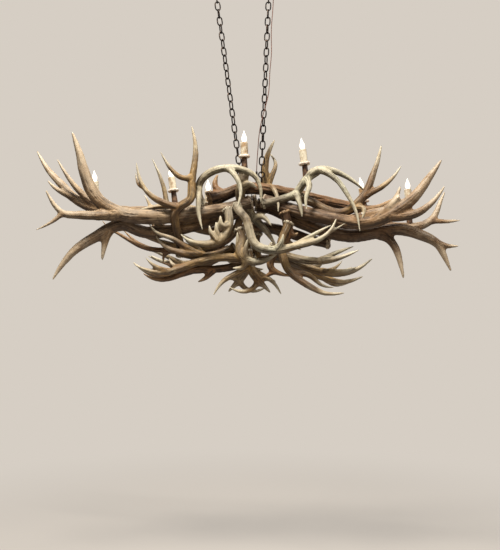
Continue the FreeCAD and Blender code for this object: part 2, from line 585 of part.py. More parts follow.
ANTLERS = {
    "elk_antler_spine": Antler(
        "elk", 0.96,
        [(-206, -66, 38), (-132, -52, 62), (-50, -50, 94), (64, -50, 96), (206, 6, 82),
         (374, 85, 60), (524, 125, 36), (656, 150, 30), (780, 165, 96)],
        [(-132, -52, 62), (-170, -50, 116), (-154, -48, 174)],
        [(524, 125, 36), (464, 150, -2), (382, 170, -46)]),
    "elk_antler_left_front": Antler(
        "elk", 1.08,
        [(14, -58, 32), (-108, -86, -8), (-236, -118, -34), (-378, -148, -54),
         (-540, -182, -60), (-646, -200, -36), (-714, -215, 14), (-770, -230, 118),
         (-800, -243, 228), (-834, -255, 332)],
        [(-646, -200, -36), (-710, -228, -64), (-794, -250, -64), (-862, -270, -60),
         (-904, -285, -20), (-940, -300, 46)],
        [(-846, -265, -64), (-904, -285, -96), (-984, -305, -144)],
        [(-236, -118, -34), (-306, -100, -78), (-370, -90, -130)]),
    "elk_antler_right_front": Antler(
        "elk", 1.04,
        [(64, -50, 42), (152, -72, 10), (258, -100, -28), (370, -132, -58), (482, -160, -84),
         (592, -188, -84), (682, -208, -46), (762, -224, 8), (834, -238, 94), (908, -250, 200)],
        [(700, -210, -38), (770, -232, -60), (836, -248, -24), (880, -256, 20), (916, -262, 72)],
        [(592, -188, -84), (662, -214, -20), (694, -222, 22), (716, -228, 80)],
        [(506, -165, -82), (582, -190, -48), (652, -215, -28), (710, -240, 30)]),
    "elk_antler_left_lower": Antler(
        "elk", 0.92,
        [(24, -22, -2), (-114, -52, -42), (-288, -82, -96), (-432, -108, -126),
         (-526, -128, -124), (-608, -148, -96), (-672, -165, -118), (-730, -182, -156),
         (-814, -205, -218), (-876, -222, -292), (-918, -240, -370)],
        [(-672, -165, -118), (-688, -178, -188), (-698, -185, -274)],
        [(-432, -108, -126), (-482, -86, -62), (-536, -60, -28)]),
    "elk_antler_right_lower": Antler(
        "elk", 1.0,
        [(36, 6, 28), (134, -18, -6), (252, -45, -68), (376, -75, -118), (500, -103, -144),
         (632, -128, -126), (724, -145, -116), (816, -160, -144), (898, -172, -190),
         (934, -180, -260), (960, -186, -326)],
        [(890, -171, -184), (942, -186, -202), (998, -198, -204)],
        [(612, -125, -130), (684, -148, -176), (716, -162, -250), (736, -172, -360)]),
    "elk_antler_left_back": Antler(
        "elk", 0.9,
        [(46, 40, 58), (-66, 55, 30), (-188, 66, -4), (-404, 80, -2), (-612, 96, 4),
         (-742, 110, 16), (-832, 120, 36), (-914, 135, 84), (-986, 150, 156), (-1058, 168, 232),
         (-1134, 188, 350)],
        [(-898, 132, 74), (-964, 112, 106), (-1014, 100, 136), (-1046, 90, 170)],
        [(-768, 112, 22), (-846, 92, 82), (-930, 76, 176), (-992, 66, 276)]),
    "elk_antler_right_back": Antler(
        "elk", 0.86,
        [(66, 34, 32), (208, 60, 6), (390, 92, -34), (584, 122, -58), (786, 142, -70),
         (894, 156, -62), (968, 166, -20), (1008, 174, 56), (1042, 182, 130)],
        [(946, 162, -36), (1032, 152, -38), (1110, 142, -32)]),
    "elk_antler_centre_low": Antler(
        "elk", 0.84,
        [(404, -44, -174), (342, -22, -162), (256, 6, -134), (166, 34, -100), (66, 56, -82),
         (-46, 70, -90), (-158, 80, -98), (-272, 90, -82), (-376, 102, -44), (-460, 118, 10)],
        [(166, 34, -100), (198, 60, -152), (272, 90, -194)]),
    "mule_antler_left_top": Antler(
        "deer", 1.05,
        [(-332, -92, -252), (-338, -112, -182), (-350, -148, -114), (-354, -180, -52),
         (-326, -190, -12), (-282, -190, 18), (-274, -185, 80), (-264, -178, 176),
         (-258, -172, 278), (-278, -168, 384)],
        [(-346, -186, -24), (-420, -196, 8), (-484, -204, 54), (-520, -210, 118),
         (-536, -214, 196)],
        [(-480, -203, 48), (-524, -190, 88), (-544, -180, 158)],
        [(-276, -184, 94), (-320, -196, 124), (-380, -208, 174), (-422, -218, 246)]),
    "mule_antler_left_rear": Antler(
        "deer", 0.9,
        [(-176, 30, -20), (-296, 20, 10), (-406, 12, 22), (-496, 8, 12), (-574, -2, -8)],
        [(-406, 12, 22), (-432, 4, 116), (-460, -2, 196), (-492, -8, 264)],
        [(-486, 8, 12), (-514, 24, 50), (-536, 36, 88)]),
    "mule_antler_left_arch": Antler(
        "deer", 0.95,
        [(-222, -112, 2), (-248, -132, 72), (-230, -142, 124), (-178, -148, 164),
         (-110, -150, 180), (-38, -146, 174), (24, -140, 146), (56, -134, 80), (58, -130, 12)],
        [(-124, -150, 178), (-66, -188, 134), (-40, -212, 56), (-58, -226, -34)],
        [(-236, -140, 112), (-242, -166, 36), (-240, -180, -46), (-220, -190, -130)]),
    "mule_antler_centre_right": Antler(
        "deer", 0.95,
        [(120, 4, 32), (96, 9, 98), (82, 12, 184), (88, 9, 258), (132, 2, 362)],
        [(88, 9, 128), (124, 26, 196), (136, 34, 244), (102, 38, 302)],
        [(88, 9, 148), (114, -60, 104), (140, -104, 38), (142, -120, -32)]),
    "mule_antler_centre_post": Antler(
        "deer", 1.25,
        [(-22, -82, 184), (-34, -76, 120), (-44, -66, 60), (-14, -50, 2), (24, -30, -44),
         (74, -34, -98), (134, -44, -188)],
        [(-36, -70, 88), (10, -96, 110), (38, -112, 88)],
        [(4, -32, -18), (64, -70, -44), (112, -96, -98)]),
    "mule_antler_right_arch": Antler(
        "deer", 1.0,
        [(64, -84, 16), (156, -102, 34), (232, -116, 68), (274, -124, 126), (312, -130, 166),
         (380, -135, 176), (452, -130, 154), (522, -122, 112), (572, -112, 70)],
        [(352, -134, 174), (418, -176, 120), (470, -206, 36), (506, -218, -44),
         (522, -226, -142)],
        [(298, -128, 154), (344, -112, 168), (392, -100, 206)],
        [(290, -127, 144), (290, -164, 90), (272, -182, 24), (276, -190, -34)],
        [(242, -118, 72), (242, -150, 16), (256, -164, -64)]),
    "mule_antler_right_top": Antler(
        "deer", 1.1,
        [(250, -78, 48), (312, -96, 20), (382, -124, -22), (456, -146, -36), (516, -160, 0),
         (562, -164, 56), (596, -160, 138), (624, -156, 218), (642, -152, 294)],
        [(558, -164, 48), (628, -172, 78), (684, -178, 122), (732, -186, 186)],
        [(520, -160, 4), (546, -190, -24), (536, -204, -78)]),
    "mule_antler_front_centre": Antler(
        "deer", 1.05,
        [(-62, -118, 2), (-48, -150, -28), (-14, -184, -76), (6, -204, -144), (28, -214, -198),
         (80, -220, -224), (150, -222, -224), (230, -220, -206), (328, -214, -176),
         (384, -208, -132), (416, -202, -72)],
        [(118, -221, -228), (152, -240, -192), (160, -250, -150)],
        [(342, -213, -170), (410, -196, -124), (464, -186, -90)],
        [(230, -220, -206), (306, -196, -150), (396, -180, -100)]),
    "mule_antler_front_left": Antler(
        "deer", 1.05,
        [(-106, -126, -14), (-94, -154, -72), (-108, -168, -136), (-138, -174, -174),
         (-194, -178, -192), (-256, -182, -188), (-298, -186, -170), (-326, -190, -146)],
        [(-166, -176, -186), (-180, -194, -144), (-188, -202, -104)],
        [(-128, -172, -166), (-154, -188, -124), (-158, -194, -86)],
        [(-110, -168, -140), (-128, -190, -106), (-136, -198, -56)]),
    "mule_antler_bowl": Antler(
        "deer", 1.05,
        [(-52, -138, -112), (-36, -160, -186), (-40, -176, -232), (-10, -186, -268),
         (38, -192, -280), (90, -196, -266), (136, -198, -238)],
        [(-34, -181, -248), (-14, -206, -210), (-4, -216, -168)],
        [(14, -189, -276), (-24, -172, -298), (-82, -160, -306)]),
    "mule_antler_low_left_front": Antler(
        "deer", 1.05,
        [(34, -150, -276), (-44, -146, -260), (-120, -148, -254), (-206, -152, -264),
         (-282, -157, -290), (-348, -162, -316), (-424, -172, -326), (-484, -180, -318),
         (-544, -192, -292)],
        [(-44, -146, -260), (-52, -164, -206), (-56, -178, -134)],
        [(-410, -170, -324), (-460, -186, -290), (-492, -196, -256)],
        [(-320, -160, -306), (-364, -140, -290), (-388, -128, -254)]),
    "mule_antler_low_left_dark": Antler(
        "deer", 0.95,
        [(-4, -92, -274), (-102, -108, -300), (-198, -122, -310), (-284, -132, -318),
         (-354, -142, -346), (-426, -150, -362), (-472, -156, -352), (-508, -160, -330)],
        [(-322, -138, -334), (-372, -118, -298), (-432, -104, -272)],
        [(-170, -118, -308), (-208, -124, -350), (-250, -128, -372)]),
    "mule_antler_low_left_upper": Antler(
        "deer", 1.05,
        [(-64, -104, -200), (-150, -122, -238), (-236, -132, -248), (-312, -139, -236),
         (-374, -138, -216), (-418, -142, -188), (-450, -146, -146)],
        [(-256, -107, -242), (-312, -138, -198), (-378, -154, -160), (-438, -164, -138),
         (-482, -172, -92)],
        [(-190, -96, -238), (-254, -78, -202), (-318, -66, -162)]),
    "mule_antler_left_thin": Antler(
        "deer", 0.72,
        [(-114, -18, -200), (-224, -31, -222), (-322, -42, -220), (-414, -42, -210),
         (-500, -32, -200), (-578, -42, -168), (-650, -50, -126), (-698, -55, -96),
         (-728, -60, -60)],
        [(-500, -32, -200), (-572, -14, -158), (-640, 0, -92)],
        [(-412, -21, -212), (-426, -26, -244), (-424, -28, -272)]),
    "mule_antler_left_middle": Antler(
        "deer", 0.95,
        [(-40, -22, -28), (-80, -24, -126), (-178, -30, -188), (-292, -42, -198),
         (-388, -54, -182), (-456, -62, -162), (-524, -70, -138), (-582, -76, -110)],
        [(-322, -43, -184), (-382, -20, -136), (-454, -4, -90)]),
    "mule_antler_bottom_centre": Antler(
        "deer", 1.1,
        [(-14, -110, -216), (0, -119, -264), (14, -124, -314), (44, -126, -362),
         (74, -128, -392), (104, -130, -424)],
        [(8, -122, -294), (-58, -122, -330), (-126, -134, -370), (-172, -144, -438)],
        [(34, -125, -346), (20, -132, -400), (-34, -140, -418), (-98, -146, -396)],
        [(40, -126, -358), (88, -96, -354), (134, -86, -368)]),
    "mule_antler_bottom_right": Antler(
        "deer", 1.2,
        [(170, -112, -22), (188, -114, -94), (170, -110, -176), (122, -104, -238),
         (106, -100, -296), (146, -100, -326), (206, -100, -342)],
        [(106, -100, -292), (82, -90, -344), (54, -76, -382)],
        [(188, -113, -110), (218, -124, -144), (240, -132, -130)]),
    "mule_antler_right_upper_basket": Antler(
        "deer", 1.0,
        [(92, -120, -196), (164, -130, -236), (244, -142, -262), (330, -156, -272),
         (404, -168, -266), (460, -178, -248), (504, -186, -224)],
        [(368, -162, -272), (454, -190, -252), (524, -204, -222)],
        [(310, -153, -272), (418, -136, -232), (510, -126, -198)]),
    "mule_antler_right_middle_basket": Antler(
        "deer", 1.0,
        [(102, -76, -212), (186, -86, -256), (262, -95, -292), (344, -104, -318),
         (430, -113, -330), (506, -122, -316), (598, -132, -256)],
        [(384, -103, -326), (456, -134, -318), (520, -150, -300)]),
    "mule_antler_right_low_basket": Antler(
        "deer", 1.0,
        [(114, -50, -228), (202, -56, -274), (290, -60, -314), (374, -58, -348),
         (456, -66, -368), (514, -72, -358), (560, -80, -340)],
        [(350, -44, -336), (422, -26, -376), (498, -14, -372)]),
    "mule_antler_right_bottom": Antler(
        "deer", 1.0,
        [(196, -140, -80), (172, -150, -138), (152, -154, -200), (164, -160, -254),
         (180, -166, -302), (224, -172, -352), (290, -178, -396), (360, -184, -428),
         (454, -192, -426)],
        [(228, -172, -356), (292, -148, -342), (350, -136, -386), (412, -128, -398)]),
}


# ------------------------------------------------------------------- coping the joints
def segment_gap(a0, a1, b0, b1):
    """Closest points of two straight stretches: gap, point on a, point on b."""
    u, v, w = a1 - a0, b1 - b0, a0 - b0
    a, b, c, d, e = u.dot(u), u.dot(v), v.dot(v), u.dot(w), v.dot(w)
    bottom = a * c - b * b
    s = min(max((b * e - c * d) / bottom, 0.0), 1.0) if bottom > 1e-9 else 0.0
    t = min(max((b * s + e) / c, 0.0), 1.0)
    s = min(max((b * t - d) / a, 0.0), 1.0)
    on_a, on_b = a0 + u * s, b0 + v * t
    return on_a.distanceToPoint(on_b), on_a, on_b


class Meeting:
    """Where two limbs come closest, measured skin to skin."""

    def __init__(self, limb_a, limb_b):
        self.skin = None
        for i in range(len(limb_a.points) - 1):
            for j in range(len(limb_b.points) - 1):
                gap, on_a, on_b = segment_gap(limb_a.points[i], limb_a.points[i + 1],
                                              limb_b.points[j], limb_b.points[j + 1])
                radius_a = max(limb_a.radii[i], limb_a.radii[i + 1])
                radius_b = max(limb_b.radii[j], limb_b.radii[j + 1])
                skin = gap - radius_a - radius_b
                if self.skin is None or skin < self.skin:
                    self.skin, self.on_a, self.on_b = skin, on_a, on_b
                    self.radius_a, self.radius_b = radius_a, radius_b
                    self.along_a = limb_a.points[i + 1] - limb_a.points[i]
                    self.along_b = limb_b.points[j + 1] - limb_b.points[j]


def notch(shape, limb, play):
    """The shape cut out where a limb passes, or None where that would part it."""
    left = shape.cut(limb.solid(play))
    return left.Solids[0] if len(left.Solids) == 1 else None


def cope(antlers):
    """Notch the later antler of every pair that meet, or the earlier where that
    would cut the later one through; the meetings are returned for the screws."""
    play = size("cope_play")
    meetings = []
    for later in range(1, len(antlers)):
        for earlier in range(later):
            new, old = antlers[later], antlers[earlier]
            for limb_new in new.limbs:
                for limb_old in old.limbs:
                    meeting = Meeting(limb_old, limb_new)
                    if meeting.skin > play:
                        continue
                    meetings.append((meeting, old, new))
                    notched = notch(new.shape, limb_old, play)
                    if notched is not None:
                        new.shape = notched
                        continue
                    notched = notch(old.shape, limb_new, play)
                    if notched is None:
                        print("cut through: %s and %s at %s, %.0f mm deep" % (
                            old.name, new.name, tuple(round(c) for c in meeting.on_a),
                            -meeting.skin))
                        continue
                    old.shape = notched
    return meetings


# The far side of the basket, which the front hides: the same layouts, half a turn round.
FAR_SIDE = {
    "mule_antler_rear_centre": ("mule_antler_front_centre", (4, -59, 10)),
    "mule_antler_rear_low_right": ("mule_antler_low_left_front", (-4, -62, 14)),
    "mule_antler_rear_upper_left": ("mule_antler_right_upper_basket", (0, -112, 0)),
    "mule_antler_rear_low_left": ("mule_antler_right_middle_basket", (0, -45, 0)),
    "mule_antler_rear_bottom": ("mule_antler_bottom_centre", (-4, -17, 14)),
    "mule_antler_rear_bowl": ("mule_antler_bowl", (-4, -62, 14)),
}
for far_name, (near_name, far_shift) in FAR_SIDE.items():
    ANTLERS[far_name] = ANTLERS[near_name].half_turn(far_shift)


def raise_antlers():
    antlers = []
    for name, piece in ANTLERS.items():
        piece.name = name
        piece.raise_solid()
        antlers.append(piece)
    return antlers


def by_name(antlers, name):
    return [piece for piece in antlers if piece.name == name][0]


def drill(antlers, tool):
    """Take a straight hole out of every antler that it goes through."""
    for piece in antlers:
        if piece.shape.BoundBox.intersect(tool.BoundBox):
            left = piece.shape.cut(tool)
            if left.Volume < piece.shape.Volume - 0.1:
                piece.shape = one_solid(left, piece.name)


def seated(shape, antlers, play):
    """A piece shaped to the antlers that it stands on, cut with the play all round."""
    for piece in antlers:
        for limb in piece.limbs:
            tool = limb.solid(play)
            if tool.BoundBox.intersect(shape.BoundBox):
                shape = shape.cut(tool)
    return max(shape.Solids, key=lambda solid: solid.Volume)


# --------------------------------------------------------------------- fixing screws
SCREW_SINK = 0.9           # where a screw starts in the first antler, of its radius
SCREW_BITE = 0.55          # how far it goes into the second antler, of its radius
SCREW_SIDES = 6
SCREW_COVER = 2.0          # bone left between a screw and anything else
LEAST_SCREWED_RADIUS = 8.5


def screw_prism(start, axis, length, radius):
    """Six-sided prism inside a screw's round, or round it for its hole."""
    across = 2 * radius * math.cos(math.pi / SCREW_SIDES)
    return flat_bar(start, axis, across, length, SCREW_SIDES)


def screw_place(meeting):
    """Start, direction and length of the screw that holds a coped joint."""
    axis = meeting.on_b - meeting.on_a
    if axis.Length < 2:
        axis = meeting.along_a.cross(meeting.along_b)
    gap = (meeting.on_b - meeting.on_a).Length
    axis = Vec(axis).normalize()
    sunk = SCREW_SINK * meeting.radius_a
    start = meeting.on_a - axis * sunk
    length = sunk + gap + SCREW_BITE * meeting.radius_b
    return start, axis, length


def clear_of(antlers, start, axis, length, pair, taken):
    """True where a screw stays inside its own two antlers and away from the others."""
    end = start + axis * length
    margin = size("screw_diameter") / 2 + SCREW_COVER
    for piece in antlers:
        if piece in pair:
            continue
        for limb in piece.limbs:
            for a, b, radius in zip(limb.points, limb.points[1:], limb.radii):
                if segment_gap(start, end, a, b)[0] < radius + margin:
                    return False
    return all(segment_gap(start, end, *other)[0] > 4 * margin for other in taken)


def make_fixing_screws(antlers, meetings, taken):
    """One screw where each antler meets an earlier one, two where it meets several."""
    radius = size("screw_diameter") / 2
    screws, held = [], {}
    for meeting, old, new in sorted(meetings, key=lambda entry: entry[0].skin):
        if min(meeting.radius_a, meeting.radius_b) < LEAST_SCREWED_RADIUS:
            continue
        if held.get(new.name, 0) > 1:
            continue
        start, axis, length = screw_place(meeting)
        if not clear_of(antlers, start, axis, length, (old, new), taken):
            continue
        taken.append((start, start + axis * length))
        held[new.name] = held.get(new.name, 0) + 1
        screws.append(screw_prism(start, axis, length, radius))
        outside = 3 * meeting.radius_a
        hole = screw_prism(start - axis * outside, axis, outside + length + size("hole_play"),
                           radius + size("hole_play"))
        for piece in (old, new):
            piece.shape = max(piece.shape.cut(hole).Solids, key=lambda solid: solid.Volume)
    print("fixing screws: %d, antlers held by none: %s" % (
        len(screws), [piece.name for piece in antlers[1:] if piece.name not in held
                      and not any(old is piece for _, old, _ in meetings)]))
    return screws


# ----------------------------------------------------------------- hanging hardware
STUD_PROUD = 2.0           # how far a stud shows below its nut


def make_hangers(antlers):
    """Eye bolts through the spine antler, their nuts, and the lower cord nipple."""
    spine = by_name(antlers, "elk_antler_spine")
    play = size("cope_play")
    bolts, nuts, lines = [], [], []
    for eye in EYES:
        place = eye - DATUM
        centre = place - Vec(0, 0, size("ring_radius"))
        beam, beam_radius = nearest_on(spine.limbs[0], Vec(place.x, place.y, 0))
        stud_high = centre.z - size("ring_radius")
        nut_low = beam.z - beam_radius - 2 * size("nut_height")
        stud_low = nut_low - STUD_PROUD
        bolts.append(ring_and_stud(centre, stud_low, stud_high))
        nut = drilled_nut(Vec(place.x, place.y, nut_low), size("nut_width"),
                          3 * size("nut_height"))
        nuts.append(seated(nut, antlers, play))
        hole = flat_bar(Vec(place.x, place.y, stud_low), Vec(0, 0, 1),
                        size("stud_diameter") + 2 * size("hole_play"), stud_high - stud_low,
                        STUD_SIDES)
        drill(antlers, hole)
        lines.append((Vec(place.x, place.y, stud_low), place))
    foot = cord_foot() - DATUM
    beam, beam_radius = nearest_on(spine.limbs[0], Vec(foot.x, foot.y, 0))
    nipple = pipe(beam, Vec(0, 0, 1), foot.z - size("cord_gap") - beam.z)
    return bolts, nuts, seated(nipple, antlers, play), lines


def nearest_on(limb, place):
    """Point of a limb's centre line above or below a place, and the radius there."""
    best = None
    for a, b, radius in zip(limb.points, limb.points[1:], limb.radii):
        flat_a, flat_b = Vec(a.x, a.y, 0), Vec(b.x, b.y, 0)
        gap, on, _ = segment_gap(flat_a, flat_b, place, place + Vec(0.01, 0, 0))
        share = (on - flat_a).Length / max((flat_b - flat_a).Length, 1e-6)
        if best is None or gap < best[0]:
            best = (gap, a + (b - a) * share, radius)
    return best[1], best[2]


# --------------------------------------------------------------------- candle lights
# Middle of each candle's top, and the point inside its antler that the stem aims at,
# both about DATUM.
LIGHTS = [
    ((-804, 110, 168), (-794, 113, 22)),
    ((-394, 20, 172), (-372, 14, 18)),
    ((-210, 70, 112), (-206, 67, -4)),
    ((-24, -92, 323), (-22, -89, 186)),
    ((262, -125, 278), (280, -124, 126)),
    ((592, 140, 138), (608, 142, 28)),
    ((838, 156, 136), (844, 150, -66)),
]
BULB_SIDES = 8
ROUND_SIDES = 10
PIPE_SIDES = 6
STEM_SIDES = 8
STEM_FLARE = 1.25          # width of a stem at its antler, of its width under the pan
# Shape of the flame-tip glass: height as a share of its length, radius of its diameter.
GLASS_PROFILE = [(0.0, 0.22), (0.12, 0.33), (0.34, 0.5), (0.52, 0.44), (0.78, 0.2), (1.0, 0.04)]
PIPE_BITE = 14.0           # how far the lamp pipe goes into the stem
SOCKET_BITE = 8.0          # how far it goes up into the socket
BULB_PROUD = 3.0           # brass that shows between the socket and the glass


def round_bar(name, low, sides, across, **expressions):
    """A many-sided upright bar on the Z axis; across is the diameter it stands for."""
    bar = primitive("Prism", name, (0, 0, low), Circumradius="(%s) / 2" % across, **expressions)
    bar.Polygon = sides
    return bar


def make_light_pieces():
    """One candle light standing on the origin; the origin is the top of its stem."""
    pan_top = size("drip_pan_thickness")
    hole = "sizes.lamp_pipe_diameter + 3 * sizes.hole_play"
    pan = cut("drip_pan",
              round_bar("pan_disc", 0, ROUND_SIDES, "sizes.drip_pan_diameter",
                        Height="sizes.drip_pan_thickness"),
              round_bar("pan_hole", 0, PIPE_SIDES, hole, Height="sizes.drip_pan_thickness"))
    sleeve = cut("candle_sleeve",
                 round_bar("sleeve_outside", pan_top, ROUND_SIDES, "sizes.sleeve_diameter",
                           Height="sizes.sleeve_length"),
                 round_bar("sleeve_inside", pan_top, ROUND_SIDES, "sizes.sleeve_bore",
                           Height="sizes.sleeve_length"))
    bore_depth = size("bulb_base_length") - BULB_PROUD + size("bulb_play")
    top = pan_top + size("socket_height")
    bore = round_bar("socket_bore_tool", top - bore_depth, BULB_SIDES,
                     "sizes.bulb_base_diameter + 4 * sizes.bulb_play",
                     Height="sizes.socket_height")
    pipe_hole = round_bar("socket_pipe_hole", 0, PIPE_SIDES, hole, Height="%g mm" % (
        pan_top + SOCKET_BITE))
    socket = cut("socket",
                 round_bar("socket_outside", pan_top, BULB_SIDES, "sizes.socket_diameter",
                           Height="sizes.socket_height"),
                 fuse("socket_hollows", [bore, pipe_hole]))
    lamp_pipe = round_bar("lamp_pipe", -PIPE_BITE, PIPE_SIDES, "sizes.lamp_pipe_diameter",
                          Height="%g mm" % (PIPE_BITE + pan_top + SOCKET_BITE))
    doc.recompute()
    return {"drip_pans": pan.Shape, "candle_sleeves": sleeve.Shape,
            "candle_sockets": socket.Shape, "lamp_pipes": lamp_pipe.Shape}, top


def faceted_turning(profile, sides):
    """A turned form with flat faces, from (height, radius) pairs up the Z axis."""
    rings = [[Vec(radius * math.cos(2 * math.pi * k / sides),
                  radius * math.sin(2 * math.pi * k / sides), height) for k in range(sides)]
             for height, radius in profile]
    faces = [flat_face(rings[0]), flat_face(rings[-1])]
    for ring, following in zip(rings, rings[1:]):
        for k in range(sides):
            j = (k + 1) % sides
            faces.append(flat_face([ring[k], ring[j], following[j], following[k]]))
    return closed_solid(faces)


def bulb_shape(socket_top):
    """Flame-tip lamp: glass on a screw base, standing in the socket."""
    glass_low = socket_top + BULB_PROUD
    glass = faceted_turning([(glass_low + share * size("bulb_glass_length"),
                              width * size("bulb_glass_diameter"))
                             for share, width in GLASS_PROFILE], BULB_SIDES)
    base_radius = size("bulb_base_diameter") / 2
    base = faceted_turning([(glass_low - size("bulb_base_length"), base_radius),
                            (glass_low, base_radius)], BULB_SIDES)
    return Part.makeCompound([glass, base])


def light_frame(top, foot):
    """Placement whose Z axis runs up a candle and whose origin is its stem's top."""
    axis = (Vec(*top) - Vec(*foot)).normalize()
    stem_top = Vec(*top) - axis * (size("sleeve_length") + size("drip_pan_thickness"))
    return FreeCAD.Placement(stem_top, FreeCAD.Rotation(Vec(0, 0, 1), axis)), axis


def make_lights(antlers):
    pieces, socket_top = make_light_pieces()
    bulb = bulb_shape(socket_top)
    groups = {name: [] for name in pieces}
    stems, bulbs = [], []
    for top, foot in LIGHTS:
        frame, axis = light_frame(top, foot)
        for name, shape in pieces.items():
            groups[name].append(moved(shape, frame))
        length = (frame.Base - Vec(*foot)).Length
        stem_radius = size("stem_diameter") / 2
        stem = moved(faceted_turning([(-length, stem_radius * STEM_FLARE), (0, stem_radius)],
                                     STEM_SIDES), frame)
        depth = PIPE_BITE + size("hole_play")
        hole_radius = size("lamp_pipe_diameter") / 2 + 1.5 * size("hole_play")
        hole = moved(faceted_turning([(-depth, hole_radius), (0, hole_radius)], PIPE_SIDES),
                     frame)
        drill(antlers, hole)
        stems.append(seated(stem, antlers, size("cope_play")).cut(hole))
        bulbs.append((moved(bulb, frame), top, axis))
    groups["candle_stems"] = stems
    return groups, bulbs


def moved(shape, placement):
    copy = shape.copy()
    copy.Placement = placement.multiply(copy.Placement)
    return copy


# ------------------------------------------------------------------------------ build
def hang(name, shape, label=None):
    """A sub-part laid out about DATUM, hung in its place under the ceiling."""
    item = placed(name, shape, label or name)
    item.Placement = FreeCAD.Placement(DATUM, FreeCAD.Rotation()).multiply(item.Placement)
    return item


def build():
    make_canopy()
    make_strap()
    make_ceiling_hardware()
    make_chain(-1, "chain_left")
    make_chain(1, "chain_right")
    make_cord()
    antlers = raise_antlers()
    meetings = cope(antlers)
    bolts, nuts, nipple, lines = make_hangers(antlers)
    screws = make_fixing_screws(antlers, meetings, lines)
    groups, bulbs = make_lights(antlers)
    for piece in antlers:
        hang(piece.name, piece.shape)
    hang("eye_bolts", Part.makeCompound(bolts))
    hang("eye_bolt_nuts", Part.makeCompound(nuts))
    hang("lower_cord_nipple", nipple)
    hang("fixing_screws", Part.makeCompound(screws))
    for name, shapes in groups.items():
        hang(name, Part.makeCompound(shapes))
    for number, (shape, top, axis) in enumerate(bulbs, start=1):
        hang("bulb_%d" % number, shape)
        place = Vec(*top) + DATUM
        print("bulb_%d axis through %s along %s" % (number, rounded(place), rounded(axis, 5)))
    print("upper swing axis at z %.3f, eyes at %s" % (LOOP_LOW_Z, [rounded(e) for e in EYES]))


def rounded(vector, places=3):
    return tuple(round(value, places) for value in vector)


def check_and_write():
    """Refuse a failed object, then write one file per sub-part."""
    doc.recompute()
    for item in doc.Objects:
        if "Invalid" in item.State or "Error" in item.State:
            raise ValueError("%s failed: %s" % (item.Name, item.State))
    for item in PARTS:
        if item.Shape.isNull() or not item.Shape.isValid():
            raise ValueError("%s has no valid shape" % item.Label)
    os.makedirs("parts", exist_ok=True)
    for item in PARTS:
        item.Shape.exportStep("parts/%s.step" % item.Label)
    print("%d sub-parts written" % len(PARTS))


if __name__ == "__main__":
    build()
    check_and_write()
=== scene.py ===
# %% [markdown]
# # An antler chandelier
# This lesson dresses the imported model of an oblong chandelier. Elk beams and mule deer racks
# are woven round one long spine antler, seven candle lights stand between them, and two
# chains carry it all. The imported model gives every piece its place, so each detailed piece
# here is made in metres in the same frame, and nothing is fitted by hand.

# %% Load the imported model
import math

import bmesh
import bpy
import numpy as np
from mathutils import Matrix, Vector


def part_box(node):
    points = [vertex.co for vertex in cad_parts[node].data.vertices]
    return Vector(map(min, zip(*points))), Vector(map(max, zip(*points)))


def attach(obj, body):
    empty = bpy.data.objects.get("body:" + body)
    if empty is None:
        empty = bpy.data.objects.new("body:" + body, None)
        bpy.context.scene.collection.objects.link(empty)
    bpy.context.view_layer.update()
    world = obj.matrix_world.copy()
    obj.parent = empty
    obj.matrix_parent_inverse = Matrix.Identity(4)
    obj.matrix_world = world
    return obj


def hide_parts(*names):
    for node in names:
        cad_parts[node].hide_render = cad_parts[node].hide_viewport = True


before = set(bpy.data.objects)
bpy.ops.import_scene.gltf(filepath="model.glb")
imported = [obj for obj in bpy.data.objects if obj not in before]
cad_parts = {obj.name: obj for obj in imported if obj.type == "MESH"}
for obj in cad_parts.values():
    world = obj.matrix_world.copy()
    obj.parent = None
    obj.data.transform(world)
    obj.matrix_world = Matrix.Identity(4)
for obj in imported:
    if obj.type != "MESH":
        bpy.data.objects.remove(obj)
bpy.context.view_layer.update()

# %% [markdown]
# ## The camera
# The camera stands 3.5 m in front of the chandelier and a little below it, and looks slightly
# up. Its focal length is 700 pixels across a 500 pixel wide picture, which is a 50.4 mm lens
# on a 36 mm wide sensor. The middle of the picture lies 46 pixels above the level.
# The datum is the point in the middle of the antlers from which their places are counted.

# %% Camera
DATUM = Vector((0.033069, 0.050, -1.159005))
CAMERA_OFFSET = Vector((0.0, -3.5, -0.559))
PIXELS_UP, FOCAL_PIXELS = 46, 700
camera = bpy.data.objects.new("front_camera", bpy.data.cameras.new("front_camera"))
bpy.context.collection.objects.link(camera)
camera.location = DATUM + CAMERA_OFFSET
tilt = math.atan(PIXELS_UP / FOCAL_PIXELS)
camera.rotation_euler = (math.pi / 2 + tilt, 0.0, 0.0)
camera.data.sensor_fit = "HORIZONTAL"
camera.data.sensor_width = 36.0
camera.data.lens = 50.4
camera.data.shift_x = 0.002
bpy.context.scene.camera = camera
bpy.context.scene.view_settings.view_transform = "Standard"
print("camera at", tuple(round(c, 3) for c in camera.location))

# %% [markdown]
# ## Small helpers
# Colours are easier to read as the eight-bit values that one sees, so `tint` turns them into
# the linear numbers that a shader wants. A `Tree` adds a node and joins its inputs in one
# line, for geometry and for shader trees alike. What comes out is a `Wire`, and a sum of wires
# adds the maths nodes that it needs. A finished mesh becomes a piece with `finish`: it stands
# for its imported nodes and rides on their body.

# %% Helpers for nodes and pieces
def tint(red, green, blue):
    """Linear colour of an eight-bit one."""
    linear = [((c / 255 + 0.055) / 1.055) ** 2.4 if c > 10 else c / 255 / 12.92
              for c in (red, green, blue)]
    return (*linear, 1.0)


